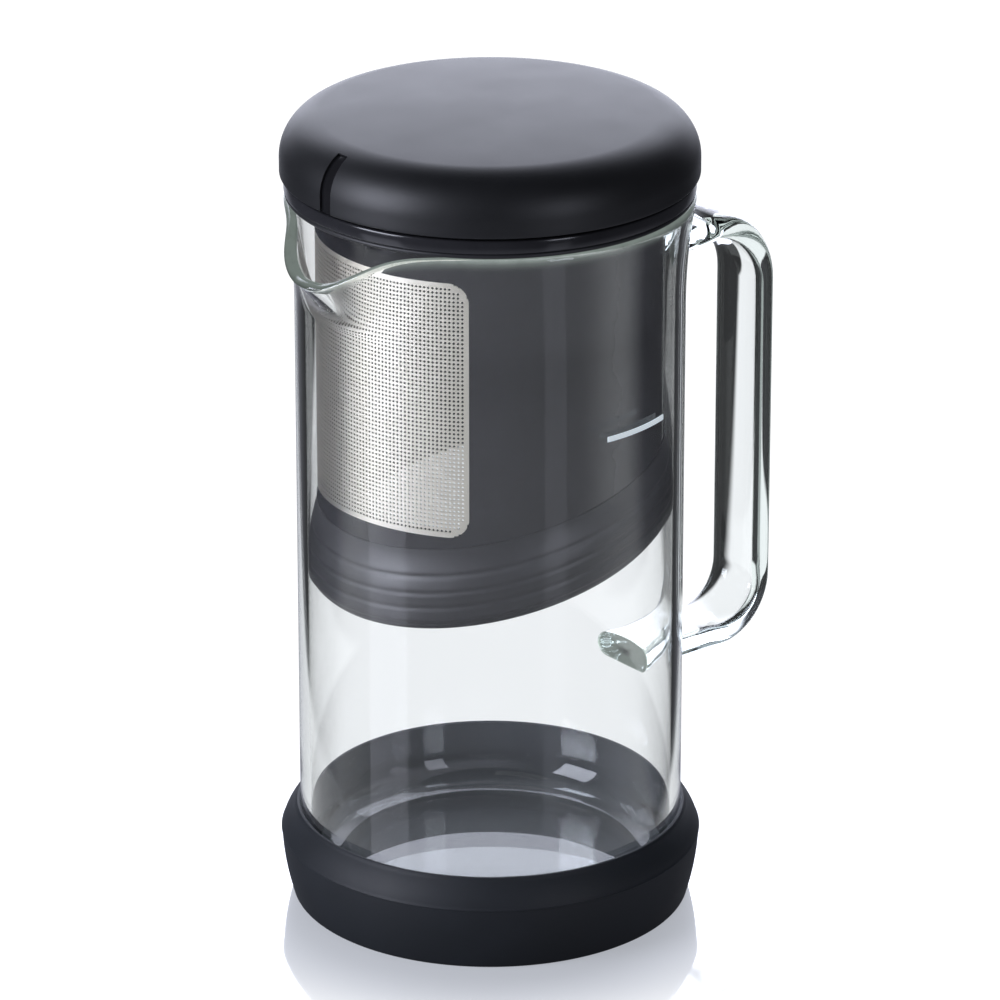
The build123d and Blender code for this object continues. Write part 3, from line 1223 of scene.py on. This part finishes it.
    def mesh(self) -> None:
        """Perforated steel sheet in the window."""
        piece = PerforatedSheet().build("mesh_sheet", MESH_STEEL, {
            "Width": 2 * self.window_across,
            "Height": 2 * self.window_half,
            "Columns": self.hole_columns,
            "Rows": self.hole_rows,
            "Hole Radius": self.hole_radius,
            "Border": self.hole_border,
            "Corner": self.window_corner,
            "Thickness": self.sheet_thickness,
            "Bend Radius": self.radius,
            "Middle": self.window_middle,
        })
        settle(piece, Body.FILTER, Slot.STEEL, "filter_mesh")

    def skirt_radius(self, up: float) -> float:
        """Outside radius of the skirt.

        Args:
            up: Height over the lower edge.

        Returns:
            The radius, with the creases between its bands.
        """
        below = min(1.0, up / self.skirt_lip_low)
        above = max(0.0, (up - self.skirt_lip_high) / (self.skirt_height - self.skirt_lip_high))
        radius = self.skirt_lip - (self.skirt_lip - self.skirt_foot) * (1.0 - below) ** self.skirt_draw
        radius -= (self.skirt_lip - self.skirt_top) * (1.0 - math.cos(math.pi * above)) / 2
        crease = sum(max(0.0, 1.0 - abs(up - place) / self.crease_width) for place in self.skirt_creases)
        return radius - self.crease_depth * crease

    def skirt_section(self, turn: float) -> list[Point]:
        """Section of the skirt: flared and creased outside, straight inside.

        Args:
            turn: Angle from the lip.

        Returns:
            Its points, around the ring.
        """
        height, inside = self.skirt_height, self.skirt_inside
        levels = [(self.skirt_radius(up), up) for up in spread(0.0, height, self.skirt_rows)]
        hang = self.end_on_axis - self.skirt_on_axis
        seat = self.radius + self.sheet_seat
        levels += [(seat, height), (seat, hang), (inside, hang), (inside, 0.0)]
        return [(radius, self.slanted(self.skirt_on_axis + up, turn, radius)) for radius, up in levels]

    def skirt(self) -> None:
        """Soft skirt that wipes the glass."""
        draft = Draft()
        draft.lathe(self.skirt_section, whole_turn(self.skirt_columns))
        piece = draft.piece("skirt", SEAL_SILICONE, self.skirt_crease)
        settle(piece, Body.FILTER, Slot.SILICONE, "skirt_seal")


class PerforatedSheet:
    """Geometry group of a bent sheet with rounded corners and rows of round holes."""

    SOCKETS = {
        "Width": "NodeSocketFloat",
        "Height": "NodeSocketFloat",
        "Columns": "NodeSocketInt",
        "Rows": "NodeSocketInt",
        "Hole Radius": "NodeSocketFloat",
        "Border": "NodeSocketFloat",
        "Corner": "NodeSocketFloat",
        "Thickness": "NodeSocketFloat",
        "Bend Radius": "NodeSocketFloat",
        "Middle": "NodeSocketFloat",
        "Finish": "NodeSocketMaterial",
    }
    HOLE_SIDES = 8
    WELD = 0.01 * MM
    CREASE = 40.0

    def __init__(self) -> None:
        """Builds the node tree."""
        self.tree = bpy.data.node_groups.new("perforated_sheet", "GeometryNodeTree")
        self.graph = Graph(self.tree)
        for name, kind in self.SOCKETS.items():
            self.tree.interface.new_socket(name, in_out="INPUT", socket_type=kind)
        self.tree.interface.new_socket("Geometry", in_out="OUTPUT", socket_type="NodeSocketGeometry")
        group = self.graph.add("NodeGroupInput")
        self.inputs = {name: group.beside(name) for name in self.SOCKETS}
        self.graph.add("NodeGroupOutput", {}, {0: self.bent(self.thickened(self.flat()))})

    def position(self) -> tuple[Signal, Signal, Signal]:
        """Splits the position.

        Returns:
            Its X, Y and Z.
        """
        place = self.graph.add("GeometryNodeInputPosition")
        split = self.graph.add("ShaderNodeSeparateXYZ", {}, {0: place})
        return split, split.beside("Y"), split.beside("Z")

    def joined(self, x: Operand, y: Operand, z: Operand) -> Signal:
        """Vector of three numbers."""
        return self.graph.add("ShaderNodeCombineXYZ", {}, {0: x, 1: y, 2: z})

    def moved(self, geometry: Signal, place: Signal, selection: Any = True) -> Signal:
        """Geometry with its selected points at another place."""
        return self.graph.add("GeometryNodeSetPosition", {},
                              {"Geometry": geometry, "Selection": selection, "Position": place})

    def welded(self, geometry: Signal) -> Signal:
        """Geometry with its doubled points merged."""
        return self.graph.add("GeometryNodeMergeByDistance", {},
                              {"Geometry": geometry, "Distance": self.WELD})

    def grid(self, size: tuple[Signal, Signal], points: tuple[Signal | int, Signal | int]) -> Signal:
        """Flat grid of this size with these numbers of points."""
        return self.graph.add("GeometryNodeMeshGrid", {}, {
            "Size X": size[0], "Size Y": size[1], "Vertices X": points[0], "Vertices Y": points[1]})

    def pitch(self) -> tuple[Signal, Signal]:
        """Distance between holes across and along the sheet."""
        return self.inputs["Width"] / self.inputs["Columns"], self.inputs["Height"] / self.inputs["Rows"]

    def past_corner(self) -> tuple[Signal, Signal, Signal]:
        """How far the position lies past the centre of the nearest corner's round.

        Returns:
            The distances across, along and in all.
        """
        x, y, _ = self.position()
        across = (abs(x) - (self.inputs["Width"] / 2 - self.inputs["Corner"])).larger(0.0)
        along = (abs(y) - (self.inputs["Height"] / 2 - self.inputs["Corner"])).larger(0.0)
        return across, along, self.graph.length(self.joined(across, along, 0.0))

    def cell(self) -> Signal:
        """One square of the sheet around a hole.

        Returns:
            The square, whose points lie on straight lines out from the hole's.
        """
        circle = self.graph.add("GeometryNodeMeshCircle", {"fill_type": "NONE"},
                                {"Vertices": self.HOLE_SIDES, "Radius": self.inputs["Hole Radius"]})
        grown = self.graph.add("GeometryNodeExtrudeMesh", {"mode": "EDGES"},
                               {"Mesh": circle, "Offset Scale": 0.0})
        x, y, _ = self.position()
        reach = abs(x).larger(abs(y))
        pitch_x, pitch_y = self.pitch()
        square = self.joined(x / reach * (pitch_x / 2), y / reach * (pitch_y / 2), 0.0)
        return self.moved(grown, square, grown.beside("Top"))

    def holed(self) -> Signal:
        """1 where the position lies inside the sheet's plain border, else 0.

        Returns:
            The choice between holed and plain squares.
        """
        border = self.inputs["Border"]
        x, y, _ = self.position()
        inside = (self.inputs["Width"] / 2 - border).above(abs(x))
        inside = inside * (self.inputs["Height"] / 2 - border).above(abs(y))
        return inside * (self.inputs["Corner"] - border).above(self.past_corner()[2])

    def flat(self) -> Signal:
        """Flat sheet: holed squares inside the border, plain ones in it, corners rounded.

        Returns:
            The sheet's geometry.
        """
        pitch = self.pitch()
        size = (self.inputs["Width"] - pitch[0], self.inputs["Height"] - pitch[1])
        centres = self.grid(size, (self.inputs["Columns"], self.inputs["Rows"]))
        holed = self.holed()
        copies = [self.graph.add("GeometryNodeInstanceOnPoints", {}, {
            "Points": centres, "Selection": choice, "Instance": shape})
            for shape, choice in ((self.cell(), holed), (self.grid(pitch, (3, 3)), 1.0 - holed))]
        sheet = self.graph.add("GeometryNodeJoinGeometry", {}, {0: copies})
        sheet = self.welded(self.graph.add("GeometryNodeRealizeInstances", {}, {0: sheet}))
        across, along, total = self.past_corner()
        outside = self.graph.add("GeometryNodeFieldOnDomain", {"domain": "FACE", "data_type": "FLOAT"},
                                 {0: total.above(self.inputs["Corner"])})
        sheet = self.graph.add("GeometryNodeDeleteGeometry", {"domain": "FACE"},
                               {"Geometry": sheet, "Selection": outside})
        x, y, z = self.position()
        pull = self.inputs["Corner"] / total.larger(self.inputs["Corner"]) - 1.0
        sign_x, sign_y = (x.above(0.0) * 2.0 - 1.0, y.above(0.0) * 2.0 - 1.0)
        return self.moved(sheet, self.joined(x + sign_x * across * pull, y + sign_y * along * pull, z))

    def thickened(self, sheet: Signal) -> Signal:
        """Closed plate.

        Args:
            sheet: The flat sheet, which becomes the plate's upper face.

        Returns:
            The plate's geometry.
        """
        offset = self.joined(0.0, 0.0, 0.0 - self.inputs["Thickness"])
        grown = self.graph.add("GeometryNodeExtrudeMesh", {"mode": "FACES"}, {
            "Mesh": sheet, "Offset": offset, "Offset Scale": 1.0, "Individual": False})
        flipped = self.graph.add("GeometryNodeFlipFaces", {}, {"Mesh": grown})
        return self.welded(self.graph.add("GeometryNodeJoinGeometry", {}, {0: [sheet, flipped]}))

    def bent(self, plate: Signal) -> Signal:
        """Plate bent around the axis, with its face outwards at the lip's side.

        Args:
            plate: The flat plate.

        Returns:
            The finished sheet with its material.
        """
        x, y, z = self.position()
        turn = x / self.inputs["Bend Radius"]
        radius = self.inputs["Bend Radius"] + z
        cosine = self.graph.add("ShaderNodeMath", {"operation": "COSINE"}, {0: turn})
        sine = self.graph.add("ShaderNodeMath", {"operation": "SINE"}, {0: turn})
        place = self.joined(0.0 - radius * cosine, 0.0 - radius * sine, y + self.inputs["Middle"])
        real = self.graph.add("GeometryNodeRealizeInstances", {}, {0: self.moved(plate, place)})
        return self.graph.add("GeometryNodeSetMaterial", {},
                              {"Geometry": real, "Material": self.inputs["Finish"]})

    def build(self, name: str, finish: Finish, sizes: dict[str, float | int]) -> bpy.types.Object:
        """Runs the group once and keeps its result as a plain mesh.

        Args:
            name: Name of the piece.
            finish: Finish of the sheet.
            sizes: Values of the group's inputs, by name.

        Returns:
            The finished piece.
        """
        carrier = bpy.data.objects.new(name + "_carrier", bpy.data.meshes.new(name + "_carrier"))
        bpy.context.scene.collection.objects.link(carrier)
        modifier = carrier.modifiers.new("sheet", "NODES")
        modifier.node_group = self.tree
        material = finish.material()
        values = {**sizes, "Finish": material}
        for item in self.tree.interface.items_tree:
            if item.in_out == "INPUT":
                modifier[item.identifier] = values[item.name]
        graph = bpy.context.evaluated_depsgraph_get()
        mesh = bpy.data.meshes.new_from_object(carrier.evaluated_get(graph))
        carrier.modifiers.clear()
        bpy.data.objects.remove(carrier)
        mesh.name = name
        return shown(mesh, material, self.CREASE)


@dataclass
class Lid:
    """Twist-lock lid: cap, indicator strip, plug and gasket."""

    radius: float = 50.8 * MM
    shoulder: float = 11.0 * MM
    top_slope: float = math.radians(5.5)
    wall: float = 2.5 * MM
    edge_round: float = 0.45 * MM
    top_rows: int = 12
    side_rows: int = 5
    shoulder_step: float = 3.0
    ceiling_shares: tuple[float, ...] = (0.6, 0.3, 0.0)
    slot_width: float = 3.9 * MM
    slot_depth: float = 1.55 * MM
    slot_sweep: float = 60.0
    slot_edge: float = 0.12 * MM
    slot_columns: int = 6
    strip_width: float = 3.8 * MM
    strip_recess: float = 0.5 * MM
    strip_depth: float = 1.0 * MM
    strip_edge: float = 0.15 * MM
    strip_crown: float = 0.13 * MM
    strip_columns: int = 8
    plate_radius: float = 48.25 * MM
    plate_thickness: float = 2.0 * MM
    plug_radius: float = 38.6 * MM
    plug_wall: float = 2.0 * MM
    plug_round: float = 0.6 * MM
    lug_radius: float = 40.1 * MM
    lug_low: float = 178.5 * MM
    lug_height: float = 3.0 * MM
    lug_span: float = math.radians(49.0)
    lug_sink: float = 0.1 * MM
    lug_count: int = 3
    lug_columns: int = 16
    seal_inner: float = 43.5 * MM
    seal_outer: float = 47.0 * MM
    seal_round: float = 0.5 * MM
    groove_gap: float = 0.05 * MM
    columns: int = 256
    inner_columns: int = 160

    def build(self) -> None:
        """Builds the four pieces of the lid."""
        self.cap()
        self.strip()
        self.plug()
        self.gasket()

    @property
    def top_reach(self) -> float:
        """Radius of the faintly domed top, up to the shoulder."""
        return self.radius - self.shoulder * (1.0 - math.sin(self.top_slope))

    @property
    def crown(self) -> float:
        """How far the top rises from the shoulder to its middle."""
        return self.top_reach * math.tan(self.top_slope) / 2

    @property
    def bend(self) -> float:
        """Height at which the side turns into the shoulder."""
        return high_of("lid_cap") - self.crown - self.shoulder * math.cos(self.top_slope)

    def shoulder_arc(self, depth: float, first: float, last: float) -> list[Point]:
        """Points over the shoulder.

        Args:
            depth: Depth under the surface.
            first: First angle in degrees, 0 pointing outwards and 90 up.
            last: Last angle in degrees.

        Returns:
            The points from the first angle to the last, both included.
        """
        centre = (self.radius - self.shoulder, self.bend)
        steps = max(2, round(abs(last - first) / self.shoulder_step))
        return arc(centre, self.shoulder - depth, first, last, steps)

    def side_path(self, depth: float, low: float) -> list[Point]:
        """Line along the cap's side and over its shoulder as far as the slot reaches.

        Args:
            depth: Depth under the surface.
            low: Height at which it starts.

        Returns:
            Its points, from the lower edge upwards.
        """
        side = [(self.radius - depth, height) for height in spread(low, self.bend, self.side_rows)[:-1]]
        return side + self.shoulder_arc(depth, 0.0, self.slot_sweep)

    def cap_section(self, turn: float) -> list[Point]:
        """Section of the cap, deeper in the indicator's slot.

        Args:
            turn: Angle from the lip.

        Returns:
            Its points, from the middle of the top to the middle of the underside.
        """
        turn = math.remainder(turn, FULL_TURN)
        top, low = high_of("lid_cap"), low_of("lid_cap")
        depth = self.slot_depth if abs(turn) * self.radius < self.slot_width / 2 else 0.0
        points = [(self.top_reach * share, top - self.crown * share ** 2)
                  for share in spread(0, 1, self.top_rows)[:-1]]
        points += self.shoulder_arc(0.0, 90.0 - math.degrees(self.top_slope), self.slot_sweep + 1.0)
        points += reversed(self.side_path(depth, low + self.edge_round))
        edge = self.radius - depth - self.edge_round
        points += arc((edge, low + self.edge_round), self.edge_round, 0, -90, SMALL_ROUND)[1:]
        bore = self.radius - self.wall
        points += [(bore, low), (bore, (low + self.bend) / 2)]
        points += self.shoulder_arc(self.wall, 0.0, 90.0)
        ceiling = self.bend + self.shoulder - self.wall
        points += [(self.top_reach * share, ceiling) for share in self.ceiling_shares]
        return points

    def cap(self) -> None:
        """Cap with its large shoulder and the slot of the indicator."""
        half = self.slot_width / 2 / self.radius
        edge = self.slot_edge / self.radius
        turns = spread(-half + edge / 4, half - edge / 4, self.slot_columns)
        turns += [half + edge / 4]
        turns += spread(half + 2 * edge, FULL_TURN - half - 2 * edge, self.columns)
        turns += [FULL_TURN - half - edge / 4]
        draft = Draft()
        draft.lathe(self.cap_section, turns)
        settle(draft.piece("cap", LID_PLASTIC), Body.LID, Slot.MATTE, "lid_cap")

    def strip(self) -> None:
        """Glossy indicator strip in the cap's slot."""
        low = low_of("lid_indicator")
        outer = self.side_path(self.strip_recess, low)
        inner = self.side_path(self.strip_recess + self.strip_depth, low)
        half, edge = self.strip_width / 2, self.strip_edge
        side, chamfer = Vector((0.0, half, 0.0)), Vector((0.0, half - edge, 0.0))
        draft = Draft()
        rings = []
        for (far, far_up), (near, near_up) in zip(outer, inner):
            front, back = Vector((-far, 0.0, far_up)), Vector((-near, 0.0, near_up))
            sunk = front.lerp(back, edge / self.strip_depth)
            outward = (front - back).normalized()
            face = [front + chamfer * share - outward * self.strip_crown * share ** 2
                    for share in spread(-1, 1, self.strip_columns)]
            rings.append(draft.ring([back - side, sunk - side, *face, sunk + side, back + side]))
        draft.skin(rings)
        draft.cap_ends(rings)
        settle(draft.piece("indicator", STRIP_PLASTIC), Body.LID, Slot.GLOSS, "lid_indicator")

    def plug_section(self, turn: float) -> list[Point]:
        """Section of the plug: plate, cup and groove.

        Args:
            turn: Angle from the lip; not used, as the section is the same all the way round.

        Returns:
            Its points, from the middle of the cup's floor to the middle of its underside.
        """
        low, top = low_of("lid_plug"), high_of("lid_plug")
        floor = low + self.plug_wall
        plate = top - self.plate_thickness
        groove = high_of("lid_gasket")
        cup = self.plug_radius - self.plug_wall
        outer, inner = self.seal_outer + self.groove_gap, self.seal_inner - self.groove_gap
        points = [(0.0, floor), (cup / 2, floor), (cup, floor), (cup, top)]
        points += [(self.plate_radius, top), (self.plate_radius, plate)]
        points += [(outer, plate), (outer, groove), (inner, groove), (inner, plate)]
        points += [(self.plug_radius, plate)]
        centre = (self.plug_radius - self.plug_round, low + self.plug_round)
        points += arc(centre, self.plug_round, 0, -90, SMALL_ROUND)
        points += [(cup / 2, low), (0.0, low)]
        return points

    def plug(self) -> None:
        """Plug that reaches into the tube, with the lugs of the bayonet."""
        draft = Draft()
        draft.lathe(self.plug_section, whole_turn(self.inner_columns))
        radii = (self.plug_radius - self.lug_sink, self.lug_radius)
        heights = (self.lug_low, self.lug_low + self.lug_height)
        for number in range(self.lug_count):
            start = number * FULL_TURN / self.lug_count - self.lug_span / 2
            draft.sector(radii, heights, spread(start, start + self.lug_span, self.lug_columns))
        settle(draft.piece("plug", LID_PLASTIC), Body.LID, Slot.MATTE, "lid_plug")

    def gasket_section(self, turn: float) -> list[Point]:
        """Section of the gasket, round where it meets the flange.

        Args:
            turn: Angle from the lip; not used, as the section is the same all the way round.

        Returns:
            Its points, around the ring.
        """
        low, high = low_of("lid_gasket"), high_of("lid_gasket")
        rise = low + self.seal_round
        inner = arc((self.seal_inner + self.seal_round, rise), self.seal_round, 180, 270, SMALL_ROUND)
        outer = arc((self.seal_outer - self.seal_round, rise), self.seal_round, -90, 0, SMALL_ROUND)
        return [(self.seal_inner, high), *inner, *outer, (self.seal_outer, high)]

    def gasket(self) -> None:
        """Soft ring in the groove of the plug's plate."""
        draft = Draft()
        draft.lathe(self.gasket_section, whole_turn(self.inner_columns))
        settle(draft.piece("lid_ring", SEAL_SILICONE), Body.LID, Slot.SILICONE, "lid_gasket")


# Studio

VIEW_TURN = math.radians(50.0)
BACKWARD = -polar(VIEW_TURN, 1.0, 0.0)
SIDEWARD = Vector((BACKWARD.y, -BACKWARD.x, 0.0))
UPWARD = Vector((0.0, 0.0, 1.0))


@dataclass(frozen=True)
class FloorFinish(Finish):
    """Polished white table with the object's shadow and mirror image close to it, and a painted glow in
    reflections and through glass.

    Fields of two values are where a smooth change starts and ends. Those whose names end in turn are
    cosines of the angle from the camera's side, and the others are distances in metres.
    """

    colour: Colour = (0.90, 0.91, 0.92, 1.0)
    start: float = 50 * MM
    mirror: float = 0.42
    mirror_fade: float = 54 * MM
    painted_mirror_tint: Colour = (0.93, 0.97, 1.06, 1.0)
    shade: float = 0.35
    shade_fade: float = 45 * MM
    white: float = 1.12
    gloss: float = 0.06
    polish: float = 0.10
    # Painted glow in reflections: a pool of light with painted shade close to the foot, a dim level further
    # out and a bright stretch far behind
    near: float = 0.44
    painted_foot_shade: Point = (0.02, 0.12)
    near_turn: Point = (-0.55, 0.15)
    far: float = 0.06
    far_range: Point = (0.36, 0.54)
    distant: float = 2.4
    distant_range: Point = (0.40, 0.95)
    distant_aside: Point = (0.20, 0.40)
    # Painted glow seen through glass: a white strip behind the object, pale sides that dim towards the
    # front, dark elsewhere
    strip_aside: Point = (0.098, 0.114)
    strip_range: Point = (-0.12, 0.0)
    strip_shift: float = 0.018
    sides: float = 0.9
    sides_turn: Point = (-0.25, 0.05)
    front_drop: float = 0.48
    front_turn: Point = (0.2, 0.6)
    dark: float = 0.03
    backdrop: Colour = (0.97, 0.985, 1.015, 1.0)

    def shader(self, graph: Graph, place: Signal) -> Signal:
        """White to the eye; in reflections and through glass a painted glow, white behind the object and
        dimmer in front of it and at the sides.

        Args:
            graph: Node tree of the material.
            place: Object coordinates.

        Returns:
            The surface shader.
        """
        distance = graph.length(place)
        front = graph.along(place, -BACKWARD) / distance
        aside = abs(graph.along(place, SIDEWARD) + self.strip_shift)
        mirror = graph.add("ShaderNodeBsdfGlossy", {}, {"Color": WHITE, "Roughness": self.gloss})
        # Painted glow of the table in reflections
        painted_table_glow = graph.glow(COOL, self.reflected(graph, place, distance, front, aside))
        lit = graph.blend(self.polish, painted_table_glow, mirror)
        # Painted glow of the table seen through glass
        behind = graph.glow(self.backdrop, self.through_glass(graph, place, front, aside))
        camera, through = graph.ray_kinds()
        lit = graph.blend(through, lit, behind)
        return graph.blend(camera, lit, self.seen(graph, distance, mirror))

    def seen(self, graph: Graph, distance: Signal, mirror: Signal) -> Signal:
        """What the eye sees: white, with shadow and mirror image around the foot, and a painted bluish tint
        on the mirror image.

        Args:
            graph: Node tree of the material.
            distance: Distance from the axis.
            mirror: Shader of the polish.

        Returns:
            The shader for camera rays.
        """
        near_mirror = self.mirror * (1.0 - graph.span(distance, self.start, self.start + self.mirror_fade))
        near_shade = self.shade * (1.0 - graph.span(distance, self.start, self.start + self.shade_fade))
        matte = graph.add("ShaderNodeBsdfDiffuse", {}, {"Color": self.colour})
        # Painted tint of the mirror image: the white glow turns bluish close to the foot
        tint = graph.mix(near_mirror / self.mirror, WHITE, self.painted_mirror_tint)
        seen = graph.blend(near_shade, graph.glow(tint, self.white), matte)
        return graph.blend(near_mirror, seen, mirror)

    def reflected(self, graph: Graph, place: Signal, distance: Signal, front: Signal,
                  aside: Signal) -> Signal:
        """Strength of the table's painted glow in reflections: a painted pool of light towards the camera's
        side with painted shade close to the foot, and a bright stretch far behind.

        Args:
            graph: Node tree of the material.
            place: Object coordinates.
            distance: Distance from the axis.
            front: Cosine of the angle from the camera's side.
            aside: Distance from the middle of the white strip.

        Returns:
            The strength of its light.
        """
        # Painted pool of light, with painted shade close to the foot
        level = (1.0 - graph.span(distance, *self.far_range)) * graph.span(distance, *self.painted_foot_shade)
        level = self.far + (self.near - self.far) * level * graph.span(front, *self.near_turn)
        distant = self.distant * graph.span(graph.along(place, BACKWARD), *self.distant_range)
        return level.larger(distant * (1.0 - graph.span(aside, *self.distant_aside)))

    def through_glass(self, graph: Graph, place: Signal, front: Signal, aside: Signal) -> Signal:
        """Strength of the table's painted glow seen through glass: a painted white strip behind the object,
        and pale sides.

        Args:
            graph: Node tree of the material.
            place: Object coordinates.
            front: Cosine of the angle from the camera's side.
            aside: Distance from the middle of the white strip.

        Returns:
            The strength of its light.
        """
        strip = 1.0 - graph.span(aside, *self.strip_aside)
        strip = strip * graph.span(graph.along(place, BACKWARD), *self.strip_range)
        sides = self.sides - self.front_drop * graph.span(front, *self.front_turn)
        return strip.larger(graph.span(front, *self.sides_turn) * sides).larger(self.dark)


@dataclass(frozen=True)
class SoftBox:
    """Area light that faces the jug, placed by degrees to the camera's right and above the table."""

    name: str
    offset: float
    elevation: float
    distance: float
    size: Point
    power: float
    mirrored: bool = True
    target: float = 110 * MM

    def build(self) -> None:
        """Adds the light."""
        lamp = bpy.data.lights.new(self.name, "AREA")
        lamp.shape = "RECTANGLE"
        lamp.size, lamp.size_y = self.size
        lamp.energy = self.power
        lamp.color = COOL[:3]
        box = bpy.data.objects.new(self.name, lamp)
        rise = math.radians(self.elevation)
        turn = VIEW_TURN + math.radians(self.offset)
        box.location = polar(turn, self.distance * math.cos(rise), self.distance * math.sin(rise))
        aim = Vector((0.0, 0.0, self.target)) - box.location
        box.rotation_euler = aim.to_track_quat("-Z", "Y").to_euler()
        box.visible_camera = False
        box.visible_glossy = self.mirrored
        bpy.context.scene.collection.objects.link(box)


@dataclass
class Studio:
    """White table, pale surroundings behind the object, dark ones beside it, and soft boxes.

    Fields of two values are where a smooth change of the surroundings starts and ends, as parts of a
    direction upwards, backwards or sideways.
    """

    floor_radius: float = 1.6
    floor_sides: int = 96
    ambient: float = 0.05
    glow: float = 3.3
    glow_in_glass: float = 0.75
    glow_foot: Point = (-0.16, -0.08)
    glow_top: Point = (0.50, 0.80)
    glow_back: Point = (0.0, 0.8)
    glow_aside: Point = (0.3, 0.6)
    card_back: Point = (0.0, 0.3)
    card_aside: Point = (0.20, 0.35)
    overhead: float = 0.8
    overhead_up: Point = (0.15, 0.50)
    overhead_right: Point = (-0.55, 0.0)
    boxes: tuple[SoftBox, ...] = (
        SoftBox("left_box", -62.0, 24.0, 0.85, (0.36, 0.55), 6.5),
        SoftBox("back_box", 165.0, 55.0, 1.1, (0.9, 0.5), 6.0, mirrored=False),
        SoftBox("right_strip", 38.0, 20.0, 0.9, (0.20, 0.5), 1.2),
    )

    def build(self) -> None:
        """Builds the surroundings and the lights."""
        bpy.context.scene.view_settings.view_transform = "Standard"
        self.floor()
        self.world()
        for box in self.boxes:
            box.build()

    def floor(self) -> None:
        """Round white table, much larger than the view."""
        draft = Draft()
        ring = draft.ring(polar(turn, self.floor_radius, 0.0) for turn in whole_turn(self.floor_sides))
        draft.faces.append(tuple(ring))
        draft.piece("table", FloorFinish("table"))

    def world(self) -> None:
        """White to the eye; a pale glow behind the object, and dimness elsewhere."""
        world = bpy.data.worlds.new("studio")
        world.use_nodes = True
        bpy.context.scene.world = world
        graph = Graph(world.node_tree)
        direction = graph.add("ShaderNodeTexCoord", output="Generated")
        up = graph.along(direction, UPWARD)
        back = graph.along(direction, BACKWARD)
        right = graph.along(direction, SIDEWARD)
        aside = abs(right)
        camera, through = graph.ray_kinds()
        band = graph.span(up, *self.glow_foot) * (1.0 - graph.span(up, *self.glow_top))
        glow = self.glow * (1.0 - (1.0 - self.glow_in_glass) * through) * band
        glow = glow * graph.span(back, *self.glow_back) * (1.0 - graph.span(aside, *self.glow_aside))
        card = (1.0 - graph.span(aside, *self.card_aside)) * graph.span(back, *self.card_back)
        overhead = self.overhead * graph.span(up, *self.overhead_up)
        card = card.larger(overhead * graph.span(right, *self.overhead_right))
        strength = (self.ambient + glow).larger(through * card).larger(camera)
        colour = graph.mix(camera, COOL, WHITE)
        surface = graph.add("ShaderNodeBackground", {}, {"Color": colour, "Strength": strength})
        graph.add("ShaderNodeOutputWorld", {}, {"Surface": surface})


@dataclass
class Viewpoint:
    """Camera of the photograph."""

    azimuth: float = math.radians(-40.0)
    pitch: float = 0.381594
    distance: float = 1474.18 * MM
    height: float = 695.16 * MM
    aside: float = 2.39 * MM
    focal_pixels: float = 6468.97
    image_width: int = 1000
    sensor_width: float = 36.0
    clip: Point = (0.05, 20.0)

    def build(self) -> None:
        """Makes the camera and hands it to the scene."""
        data = bpy.data.cameras.new("view")
        data.sensor_width = self.sensor_width
        data.lens = self.focal_pixels / self.image_width * self.sensor_width
        data.clip_start, data.clip_end = self.clip
        camera = bpy.data.objects.new("view", data)
        sine, cosine = math.sin(self.azimuth), math.cos(self.azimuth)
        camera.location = Vector((sine * self.distance, -cosine * self.distance, self.height))
        camera.location += Vector((cosine, sine, 0.0)) * self.aside
        camera.rotation_euler = (math.pi / 2 - self.pitch, 0.0, self.azimuth)
        bpy.context.scene.collection.objects.link(camera)
        bpy.context.scene.camera = camera


def main() -> None:
    """Builds the brewer, its studio and its camera."""
    logging.basicConfig(level=logging.INFO, format="%(name)s: %(message)s")
    for part in (Jug(), RimSeal(), Filter(), Lid(), Studio(), Viewpoint()):
        part.build()
        LOG.info("built %s", type(part).__name__)


if __name__ == "__main__":
    main()
